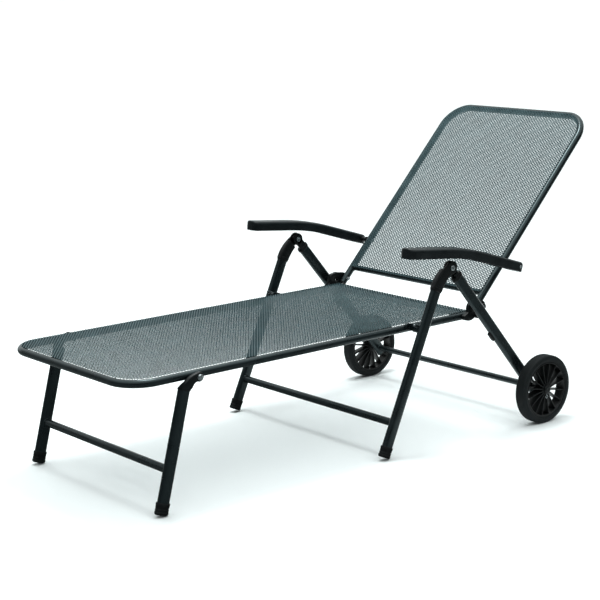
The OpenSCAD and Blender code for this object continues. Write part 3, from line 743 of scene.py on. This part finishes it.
def evenly(outline, centre, count):
    """The outline's points at equal angles about the centre, where each ray from it leaves."""
    rel = outline - centre
    angle = np.arctan2(rel[:, 1], rel[:, 0])
    order = np.argsort(angle)
    want = np.linspace(-np.pi, np.pi, count, endpoint=False)
    radius = np.interp(want, angle[order], np.linalg.norm(rel, axis=1)[order], period=2 * np.pi)
    return centre + radius[:, None] * np.stack([np.cos(want), np.sin(want)], 1)


def turned(at, profile, side=1, middle=0.0, count=40, closed=False):
    """A part turned about an axis along y through the point. Profile pairs are radius and distance
    along the axis, counted from the middle towards the side, +1 or -1."""
    ring = circle(1.0, count)
    rings = [upright(np.asarray(at)[[0, -1]] + r * ring, middle + side * y) for r, y in profile]
    return shell(np.array(rings), closed=closed)


for side_name, s in sides:
    floor_z = stud[2] + stud_r + stud_gap
    corners = [(bracket_bolt[0] - 0.010, rail_z - 0.009), (deck_end_x - 0.004, rail_z - 0.009),
               (deck_end_x, floor_z), (stud[0] + 0.006, floor_z), (hinge[0] + 0.016, hinge[2] - 0.010),
               (hinge[0] + 0.014, hinge[2] + 0.014), (hinge[0] - 0.004, hinge[2] + 0.018),
               (hinge[0] - 0.046, hinge[2] + 0.019), (hinge[0] - 0.056, hinge[2] + 0.010),
               (hinge[0] - 0.058, rail_z + 0.010), (bracket_bolt[0] - 0.010, rail_z + 0.009)]
    radii = (0.008, 0.003, 0.002, 0.003, 0.012, 0.012, 0.012, 0.008, 0.006, 0.006, 0.008)
    outline = rounded_outline(corners, radii)
    outer = evenly(outline, window, 96)
    spokes_out = outer - window
    spokes_out /= np.linalg.norm(spokes_out, axis=1, keepdims=True)
    section = eased(bracket_t, 0.0025)
    y = [s * (bracket_y + d) for d, _ in section]
    outer_rings = [upright(outer - i * spokes_out, yy) for yy, (_, i) in zip(y, section)]
    inner_rings = [upright(window + (window_r + 0.4 * i) * spokes_out, yy)
                   for yy, (_, i) in zip(y, section)]
    rings = np.array(outer_rings + inner_rings[::-1]).transpose(1, 0, 2)
    collar_y = bracket_y + bracket_t
    collar = [(0.0050, collar_y - 0.001), (0.0092, collar_y - 0.001), (0.0092, collar_y + 0.0065),
              (0.0084, collar_y + 0.0080), (0.0066, collar_y + 0.0085), (0.0052, collar_y + 0.0082),
              (0.0050, collar_y + 0.0070)]
    shells = [shell(rings, closed=True), turned(hinge, collar, s, closed=True)]
    piece(f"back_hinge_bracket_{side_name}", shells, black_nylon, "deck",
          [f"end_bracket_{side_name}"])


# ---------------------------------------------------------------- bolts, rivets and bushes
# Zinc-plated pan-head bolts with hexagon nuts hold the hinges and armrests, and hollow rivets
# close the knees. Plastic bushes keep the armrests and wheels clear of the tubes.


def zinc_plate(name):
    """Bright zinc plating over steel: a soft metallic shine, finely speckled, with a faint grey
    bloom. The real speckle is under 0.1 mm and is drawn coarser, so that it shows."""
    made, tree, place = blank_material(name)
    speckle_width = 0.0007
    bloom_width = 0.005
    speckle = add(tree, "ShaderNodeTexNoise", {"Vector": place, "Scale": 1 / speckle_width, "Detail": 3.0})
    bloom = add(tree, "ShaderNodeTexNoise", {"Vector": place, "Scale": 1 / bloom_width, "Detail": 4.0})
    bump = add(tree, "ShaderNodeBump", {
        "Height": speckle.outputs["Fac"], "Strength": 0.2, "Distance": 0.0001,
    })
    finish_shader(tree, add(tree, "ShaderNodeBsdfPrincipled", {
        "Base Color": two_tone(tree, bloom.outputs["Fac"], "#a3aaad", "#c6cbcc", 0.35, 0.7),
        "Roughness": spread(tree, bloom.outputs["Fac"], 0.22, 0.36),
        "Normal": bump.outputs["Normal"], "Metallic": 1.0,
    }))
    return made


bright_zinc = (zinc_plate("bright_zinc_plate"), "zinc_plated_steel")


bolt_r = 0.004
washer_r = 0.0085


def pan_bolt(at, y0, y1, s, size=1.0):
    """Shank from y0 to y1, washer and domed head with a round socket outside y1, nut inside y0.
    The head and washer are size times as wide as a full one."""
    dome = [(washer_r, -0.0002), (washer_r, 0.0008), (0.0074, 0.0009), (0.0074, 0.0018),
            (0.0070, 0.0028), (0.0060, 0.0036), (0.0046, 0.0040), (0.0026, 0.0040), (0.0024, 0.0022),
            (0.0005, 0.0021)]
    head = [(bolt_r, y0), (bolt_r, y1 - 0.0002)] + [(size * r, y1 + y) for r, y in dome]
    nut = [(0.0055, y0 - 0.0040), (0.0070, y0 - 0.0034), (0.0070, y0 - 0.0006), (0.0055, y0)]
    tip = [(0.0034, y0 - 0.0058), (0.0040, y0 - 0.0052), (0.0040, y0 - 0.002)]
    return [turned(at, head, s), turned(at, tip, s, count=24), turned(at, nut, s, count=6)]


strip = tilted_oval(leg_hinge[[0, 2]] + (0.0036, 0.006), 0.064, 0.008, 8)
strips = [plate(strip, s * (leg_in - 0.0028), s * (leg_in - 0.0005), 0.0004) for s in (1, -1)]
for name, node, more, places in (
        ("front_hook_bolts", "front_hinge_bolts", [],
         [(fold_hinge, rail_y - tube_r, elbow_in_y + elbow_t + 0.0004, 1.0)]),
        ("middle_leg_bolts", "middle_hinge_bolts", strips,
         [(leg_hinge, rail_y - tube_r, leg_out - 0.0045, 1.0)]),
        ("back_hinge_bolts", "backrest_hinge_bolts", [],
         [(hinge, rail_y - tube_r - 0.0004, bracket_y + bracket_t + 0.004, 0.52),
          (bracket_bolt, rail_y - tube_r, bracket_y + bracket_t - 0.0045, 1.0)])):
    shells = [part for at, y0, y1, size in places for s in (1, -1)
              for part in pan_bolt(at, y0, y1, s, size)]
    piece(name, shells + more, bright_zinc, "deck", [node], sharp=30)

rivet = [(0.0020, leg_in - 0.0020), (0.0034, leg_in - 0.0026), (0.0075, leg_in - 0.0022),
         (0.0078, leg_in - 0.0004), (0.0042, leg_in - 0.0002), (0.0040, leg_out),
         (0.0075, leg_out + 0.0004), (0.0078, leg_out + 0.0012), (0.0066, leg_out + 0.0026),
         (0.0042, leg_out + 0.0032),
         (0.0026, leg_out + 0.0026), (0.0020, leg_out + 0.0012)]
piece("knee_hollow_rivets", [turned(knee, rivet, s, closed=True) for s in (1, -1)],
      bright_zinc, "middle_legs", ["knee_rivets"])

plug_profile = [(-0.010, 0.0018), (0, 0.0018), (0, 0), (0.0018, 0.0002), (0.0027, 0.0012), (0.003, 0.0028)]


def round_plug(at, direction):
    """A plug in the open end of a round tube: a spigot inside it and a domed flange outside."""
    section = lambda inset: circle(tube_r - inset, 28)
    return shell(straight(at, direction, section, plug_profile))


piece("deck_tube_plugs",
      [round_plug(np.array([deck_end_x, s * rail_y, rail_z]), (1, 0, 0)) for s in (1, -1)],
      black_nylon, "deck", ["rail_end_plugs"])
piece("backrest_tube_plugs", [round_plug(on_back(-back_tail, s * rail_y, 0.0), -up_back) for s in (1, -1)],
      black_nylon, "backrest", ["backrest_plugs"])
piece("rear_leg_end_plugs", [shell(straight(knee + (0, s * side_y, 0) + rear_end * rear_down, rear_down,
                                            leg_oval(), plug_profile)) for s in (1, -1)],
      black_nylon, "rear_legs", ["rear_leg_plugs"])
stud_profile = [(0.0035, bracket_y + 0.0005), (0.0058, bracket_y + 0.0012), (stud_r, bracket_y + 0.003),
                (stud_r, leg_in - 0.004), (0.0085, leg_in - 0.0035), (0.0085, leg_in)]
buffer_station = 0.290      # from the knee down the rear leg to the middle of the buffer
buffer_len = 0.032
buffer_w = 0.012
off_leg = np.array([-rear_down[2], 0, rear_down[0]])
off_leg *= -math.copysign(1, off_leg[2])        # square to the leg, on its lower side
for side_name, s in sides:
    piece(f"bracket_stud_{side_name}", [turned(stud, stud_profile, s)], black_nylon, "rear_legs",
          [f"rest_stud_{side_name}"])
    root = knee + (0, s * side_y, 0) + buffer_station * rear_down + (leg_w / 2 - 0.004) * off_leg
    block = straight(root, off_leg,
                     lambda inset: rounded_box(buffer_len - 2 * inset, buffer_w - 2 * inset, 0.003),
                     [(0, 0), (0.007, 0), (0.009, 0.0006), (0.010, 0.002)])
    piece(f"leg_buffer_{side_name}", [shell(block)], black_nylon, "rear_legs",
          [f"leg_stop_{side_name}"])


# ---------------------------------------------------------------- wheels
# Each wheel is one black moulding, a hub and a rim joined by sixteen deep thin ribs, with a solid
# rubber tyre pressed over it. The pair turns on a zinc-plated rod with end caps and wire clips.

wheel_y = 0.388
wheel_low, wheel_high = map(np.array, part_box("tyre_right"))
wheel_r = (wheel_high[2] - wheel_low[2]) / 2
tyre_w = wheel_high[1] - wheel_low[1]
rim_r = 0.086
band_t = 0.005
hub_r = 0.017
rib_count = 16
rib_depth = 0.028
rib_t = 0.0036
hub_in = wheel_y - 0.022
hub_out = wheel_y + 0.016
rod_r = 0.006
half_rim = tyre_w / 2 - 0.004
black_polypropylene = (
    moulded("black_polypropylene", "#070909", "#0d1011", 0.0010, 0.42), "moulded_plastic")
tyre_rubber = (rubber("tyre_rubber", "#0b1011", "#14191b", 0.0012), "tyre_rubber")


def rib(turn, y, rounded=0.0012):
    """A radial rib, thin round the wheel and deep across it, tapering towards the rim."""
    out = np.array([math.cos(turn), math.sin(turn)])
    round_way = np.array([-out[1], out[0]])
    rings = []
    for r, thick, deep in ((hub_r - 0.003, rib_t * 1.25, rib_depth + 0.006),
                           (hub_r + 0.008, rib_t, rib_depth + 0.002),
                           (0.05, rib_t * 0.9, rib_depth),
                           (rim_r - band_t + 0.001, rib_t * 0.9, rib_depth)):
        section = rounded_box(thick, deep, rounded, 2)
        at = axle[[0, 2]] + r * out + section[:, :1] * round_way
        rings.append(upright(at, y + section[:, 1]))
    return shell(np.array(rings))


band_in = rim_r - band_t
band = [(rim_r, -half_rim), (rim_r, half_rim), (rim_r - 0.0015, half_rim + 0.0010),
        (band_in, half_rim + 0.0010), (band_in - 0.0012, half_rim), (band_in, half_rim - 0.003),
        (band_in + 0.0006, 0), (band_in, 0.003 - half_rim), (band_in - 0.0012, -half_rim),
        (band_in, -half_rim - 0.0010), (rim_r - 0.0015, -half_rim - 0.0010)]
hub = [(rod_r + 0.0003, hub_in), (hub_r - 0.003, hub_in), (hub_r - 0.0015, hub_in + 0.001),
       (hub_r, hub_in + 0.004), (hub_r, hub_out - 0.003), (hub_r - 0.001, hub_out - 0.001),
       (hub_r - 0.003, hub_out), (rod_r + 0.0003, hub_out)]
half = tyre_w / 2
tread_half = half - 0.0045
groove_count = 9
groove_deep = 0.0007
grooves = np.linspace(-tread_half + 0.003, tread_half - 0.003, groove_count)
tread = [(wheel_r - deep, groove + step)
         for groove in grooves for step, deep in ((-0.0005, 0), (0, groove_deep), (0.0005, 0))]
wall = [(wheel_r - 0.0008, tread_half + 0.0004), (wheel_r - 0.0026, half - 0.0022),
        (wheel_r - 0.0050, half - 0.0006), (wheel_r - 0.0064, half - 0.0010),
        (wheel_r - 0.0072, half - 0.0004), (wheel_r - 0.0125, half), (wheel_r - 0.0150, half - 0.0003),
        (wheel_r - 0.0157, half - 0.0012), (wheel_r - 0.0168, half - 0.0012),
        (rim_r + 0.0016, half - 0.0014), (rim_r - 0.0002, half - 0.0026), (rim_r - 0.0002, half - 0.0045)]
tyre = tread + wall + [(r, -d) for r, d in wall[::-1]]
for side_name, s in sides:
    y = s * wheel_y
    shells = [turned(axle, band, middle=y, count=96, closed=True),
              turned(axle, hub, s, count=48, closed=True)]
    shells += [rib(2 * math.pi * (k + 0.5) / rib_count, y) for k in range(rib_count)]
    piece(f"ribbed_wheel_{side_name}", shells, black_polypropylene, f"wheel_{side_name}",
          [f"wheel_rim_{side_name}"])
    piece(f"solid_tyre_{side_name}", [turned(axle, tyre, middle=y, count=128, closed=True)],
          tyre_rubber, f"wheel_{side_name}", [f"tyre_{side_name}"], sharp=50)

clip_y = hub_out + 0.0022
clip_r = 0.0040
clip_at = axle[[0, 2]] - (0.0015, 0.0222)
clip_stem = clip_at + np.array([(0.0, 0.0045), (0.0005, 0.0080), (0.0012, 0.0130)])


def clip(s):
    """The wire clip under the hub: a torus about an axis along y, and a short stem up to the rod."""
    turn = np.linspace(0, 2 * np.pi, 32, endpoint=False)
    out = np.stack([np.cos(turn), 0 * turn, np.sin(turn)], 1)
    wire = circle(0.0008, 8)
    centre = np.array([clip_at[0], s * clip_y, clip_at[1]])
    loop = centre + (clip_r + wire[:, :1]) * out[:, None] + s * wire[:, 1:] * across_y
    stem = carried(upright(clip_stem, s * clip_y), circle(0.0009, 8), across_y)
    return [shell(loop, closed=True), shell(stem)]


rod_end = hub_out + 0.004
rod = [(rod_r - 0.001, -rod_end), (rod_r, 0.001 - rod_end), (rod_r, rod_end - 0.001),
       (rod_r - 0.001, rod_end)]
piece("wheel_rod", clip(1) + clip(-1) + [turned(axle, rod)], bright_zinc, "rear_legs", ["axle_rod"])
bush = [(rod_r + 0.0001, leg_out + 0.0002), (0.011, leg_out + 0.0002), (0.0112, leg_out + 0.002),
        (0.0098, leg_out + 0.003), (0.0098, hub_in - 0.002), (0.0105, hub_in - 0.0005),
        (rod_r + 0.0001, hub_in - 0.0005)]
piece("wheel_bushes", [turned(axle, bush, s, closed=True) for s in (1, -1)], black_nylon, "rear_legs",
      ["axle_spacers"])
cap = [(0.0128, hub_out + 0.0005), (0.013, hub_out + 0.0012), (0.0128, hub_out + 0.0035),
       (0.0118, hub_out + 0.0055), (0.0098, hub_out + 0.0068), (0.0070, hub_out + 0.0070),
       (0.0062, hub_out + 0.0062), (0.0010, hub_out + 0.0060)]
piece("wheel_end_caps", [turned(axle, cap, s) for s in (1, -1)], black_nylon, "rear_legs", ["axle_caps"])


# ---------------------------------------------------------------- armrests
# Long dark grey mouldings, open below, slightly crowned on top and widening to a squared front.
# Each swings on a bolt through the back's tube, with a bush between, and rests on the knee's tongue.

arm_pin = pivot["armrest_right_swing"] * (1, 0, 1)
arm_y = 0.347
arm_t = 0.030
arm_half_back = 0.023
arm_half_front = 0.027
arm_wall = 0.004
arm_reach_back = 0.020
arm_rear_run = 0.150
arm_front_run = 0.145
arm_bend_r = 0.850
arm_rear_tilt = 17.5
arm_front_tilt = 6.0
back_round, front_round = 0.019, 0.020          # the ends' corner radii in plan
back_drop, front_drop = 0.016, 0.004            # the ends' edge radii in side view
wide_from, wide_over = 0.20, 0.13               # where it widens, and over what length
armrest_plastic = (
    moulded("dark_grey_polypropylene", "#0c1113", "#13191b", 0.0009, 0.36), "armrest_plastic")


def arm_line():
    """Centreline in x and z: straight through the pin at the rear tilt, an arc of the bend radius
    down to the front tilt, and straight on. Points are closer at the two rounded ends."""
    forward = lambda a: np.array([-math.cos(math.radians(a)), math.sin(math.radians(a))])
    upward = lambda a: np.array([math.sin(math.radians(a)), math.cos(math.radians(a))])
    pin = arm_pin[[0, 2]]
    bend_start = pin + arm_rear_run * forward(arm_rear_tilt)
    centre = bend_start - arm_bend_r * upward(arm_rear_tilt)
    tilts = np.linspace(arm_rear_tilt, arm_front_tilt, 13)
    bend = np.array([centre + arm_bend_r * upward(a) for a in tilts])
    ease = 1 - np.cos(np.linspace(0, np.pi / 2, 9))
    back = np.concatenate([-arm_reach_back + 0.020 * ease, np.linspace(0.012, arm_rear_run - 0.01, 12)])
    front = np.concatenate([np.linspace(0.01, arm_front_run - 0.028, 12),
                            arm_front_run - 0.022 * ease[::-1]])
    rear_part = [pin + d * forward(arm_rear_tilt) for d in back]
    front_part = [bend[-1] + d * forward(arm_front_tilt) for d in front]
    return np.concatenate([rear_part, bend, front_part])


line = arm_line()
walked = np.concatenate([[0], np.cumsum(np.linalg.norm(np.diff(line, axis=0), axis=1))])
total_walk = walked[-1]


def rounded_off(d, radius):
    """How far a quarter circle that starts at an end has fallen away at distance d from the end:
    the radius, less the root of its square less the square of what is left of it."""
    left = np.clip(radius - d, 0, None)
    return radius - np.sqrt(np.clip(radius ** 2 - left ** 2, 0, None))


def arm_half_width(d):
    """Half width in plan at distance d from the back end: a slow widening, both ends rounded."""
    wide = arm_half_back + (arm_half_front - arm_half_back) * np.clip((d - wide_from) / wide_over, 0, 1)
    return wide - rounded_off(d, back_round) - rounded_off(total_walk - d, front_round)


def armrest_rings(s):
    """Sections along the line: outside, a superellipse over straight sides that lean in slightly;
    inside, a channel whose depth rises from nothing past each end. A shallow dish is pressed in
    the top near the front."""
    power = 4.2
    phi = np.radians(np.linspace(180, 0, 25))
    over_y = np.sign(np.cos(phi)) * np.abs(np.cos(phi)) ** (2 / power)
    over_n = np.sin(phi) ** (2 / power)
    dish_side = np.clip(1 - (over_y / 0.75) ** 2, 0, 1)
    waist = -0.002
    foot = -arm_t / 2
    rings = []
    for d, half in zip(walked, arm_half_width(walked)):
        near_end, drop_r = min((d, back_drop), (total_walk - d, front_drop))
        deep = np.clip(min((d - 0.036) / 0.012, (total_walk - 0.050 - d) / 0.012), 0.02, 1)
        dish = 0.0016 * np.exp(-((total_walk - 0.048 - d) / 0.030) ** 2) * dish_side
        top = waist + (arm_t / 2 - waist - rounded_off(near_end, drop_r)) * over_n - dish
        foot_half = half * 0.97
        in_half = max(half - arm_wall, half * 0.35)
        roof = foot + (arm_t / 2 - arm_wall - foot) * deep
        spring = foot + (roof - foot) * 0.9
        rings.append([(0.001 - foot_half, foot), (-foot_half, foot + 0.001), *zip(half * over_y, top),
                      (foot_half, foot + 0.001), (foot_half - 0.001, foot), (in_half, foot),
                      (in_half, spring), (in_half - 0.002, roof), (0.002 - in_half, roof),
                      (-in_half, spring), (-in_half, foot)])
    return carried(upright(line, s * arm_y), np.array(rings)[..., ::-1] * (-1, 1), across_y)


for side_name, s in sides:
    piece(f"armrest_shell_{side_name}", [shell(armrest_rings(s))], armrest_plastic,
          f"armrest_{side_name}", [f"armrest_{side_name}"])

arm_in = arm_y - arm_half_back
arm_out = arm_y + arm_half_back
arm_bolts = [part for s in (1, -1)
             for part in pan_bolt(arm_pin, rail_y - tube_r - 0.0003, arm_out - 0.003, s, 0.62)]
piece("armrest_bolts", arm_bolts, bright_zinc, "backrest", ["arm_pins"], sharp=30)
arm_bush = [(bolt_r + 0.0001, rail_y + tube_r + 0.0003), (0.0098, rail_y + tube_r + 0.0003),
            (0.010, rail_y + tube_r + 0.0015), (0.0085, rail_y + tube_r + 0.0025),
            (0.0085, arm_in - 0.0025), (0.010, arm_in - 0.0015), (0.0098, arm_in - 0.0005),
            (bolt_r + 0.0001, arm_in - 0.0005)]
piece("armrest_bushes", [turned(arm_pin, arm_bush, s, closed=True) for s in (1, -1)],
      black_nylon, "backrest", ["arm_spacers"])


# ---------------------------------------------------------------- floor, light and camera
# A plain white studio: a wide pale floor, a sky that is bright overhead and dark at the horizon but
# for a white backdrop opposite the camera, one softbox above, and the camera off the foot end.

floor_half = 60.0
floor = bpy.data.meshes.new("studio_floor")
floor.from_pydata([(-floor_half, -floor_half, 0), (floor_half, -floor_half, 0),
                   (floor_half, floor_half, 0), (-floor_half, floor_half, 0)], [], [(0, 1, 2, 3)])
floor_paint, tree, place = blank_material("white_studio_floor")
mottle = add(tree, "ShaderNodeTexNoise", {"Vector": place, "Scale": 1 / 0.4, "Detail": 2.0})
paint = add(tree, "ShaderNodeBsdfDiffuse", {
    "Color": two_tone(tree, mottle.outputs["Fac"], "#f3f5f5", "#f6f8f8"),
})
where = add(tree, "ShaderNodeSeparateXYZ", {"Vector": place}).outputs
along, aside = (
    add(tree, "ShaderNodeMapRange", {"Value": where[axis], "From Min": low, "From Max": high})
    for axis, low, high in (("X", 0.0, 0.25), ("Y", -0.75, -0.5)))
behind = add(tree, "ShaderNodeMath", {
    0: along.outputs["Result"], 1: aside.outputs["Result"],
}, operation="MULTIPLY").outputs["Value"]
# Shiny surfaces see the floor dark, as a real one is beyond the lights, but for the part that lies
# behind the object.
mirrored = add(tree, "ShaderNodeBsdfDiffuse", {"Color": two_tone(tree, behind, "#6a6e6e", "#f3f5f5")})
glossy = add(tree, "ShaderNodeLightPath").outputs["Is Glossy Ray"]
floor_mix = add(tree, "ShaderNodeMixShader", {
    0: glossy, 1: paint.outputs["BSDF"], 2: mirrored.outputs["BSDF"],
})
add(tree, "ShaderNodeOutputMaterial", {"Surface": floor_mix.outputs["Shader"]})
floor.materials.append(floor_paint)
floor_object = bpy.data.objects.new("studio_floor", floor)
bpy.context.scene.collection.objects.link(floor_object)

sky_high = 1.75             # strength overhead
sky_low = 0.08              # strength at the horizon
backdrop_white = 1.0        # strength of the white backdrop, behind the object as the camera sees it
world = bpy.data.worlds.new("studio_world")
world.use_nodes = True
tree = world.node_tree
tree.nodes.clear()
direction = add(tree, "ShaderNodeTexCoord").outputs["Generated"]
height = add(tree, "ShaderNodeSeparateXYZ", {"Vector": direction}).outputs["Z"]
strength = add(tree, "ShaderNodeMapRange", {
    "Value": height, "From Min": 0.30, "From Max": 0.85, "To Min": sky_low, "To Max": sky_high,
}, interpolation_type="SMOOTHSTEP").outputs["Result"]
far_way = add(tree, "ShaderNodeVectorMath", {0: direction, 1: (0.65, 0.76, 0.0)}, operation="DOT_PRODUCT")
backdrop = add(tree, "ShaderNodeMapRange", {
    "Value": far_way.outputs["Value"], "From Min": 0.2, "From Max": 0.7,
    "To Min": 0.0, "To Max": backdrop_white,
}, interpolation_type="SMOOTHSTEP").outputs["Result"]
strength = add(tree, "ShaderNodeMath", {0: strength, 1: backdrop}, operation="MAXIMUM").outputs["Value"]
sky = add(tree, "ShaderNodeBackground", {"Color": linear("#f8ffff"), "Strength": strength})
seen = add(tree, "ShaderNodeBackground", {"Color": linear("#ffffff"), "Strength": 1.0})
rays = add(tree, "ShaderNodeLightPath").outputs["Is Camera Ray"]
both = add(tree, "ShaderNodeMixShader", {
    0: rays, 1: sky.outputs["Background"], 2: seen.outputs["Background"],
})
add(tree, "ShaderNodeOutputWorld", {"Surface": both.outputs["Shader"]})
bpy.context.scene.world = world


def softbox(name, at, towards, size, power):
    """A square area light that points at a place."""
    data = bpy.data.lights.new(name, "AREA")
    data.shape = "SQUARE"
    data.size = size
    data.energy = power
    data.color = linear("#f6ffff")[:3]
    lamp = bpy.data.objects.new(name, data)
    lamp.location = at
    lamp.rotation_euler = (Vector(towards) - Vector(at)).to_track_quat("-Z", "Y").to_euler()
    bpy.context.scene.collection.objects.link(lamp)


softbox("overhead_softbox", (0.2, 0.3, 3.2), (0.0, 0.0, 0.2), 1.0, 72.0)

camera_data = bpy.data.cameras.new("camera")
camera_data.lens = 94.79
camera_data.sensor_width = 36.0
camera_data.clip_end = 300.0
camera = bpy.data.objects.new("camera", camera_data)
camera.location = (-2.9872, -3.4719, 1.3708)
camera.rotation_mode = "QUATERNION"
yaw, fall, roll = (math.radians(a) for a in (-40.05, 11.91, -0.85))
backward = Vector((math.sin(yaw) * math.cos(fall), -math.cos(yaw) * math.cos(fall), math.sin(fall)))
to_right = (-backward).cross(Vector((0, 0, 1))).normalized()
to_top = to_right.cross(-backward)
right = math.cos(roll) * to_right + math.sin(roll) * to_top
top = math.cos(roll) * to_top - math.sin(roll) * to_right
turn = np.array([right, top, backward]).T
camera.rotation_quaternion = Matrix(turn.tolist()).to_quaternion()
bpy.context.scene.collection.objects.link(camera)
bpy.context.scene.camera = camera
bpy.context.scene.view_settings.view_transform = "Standard"
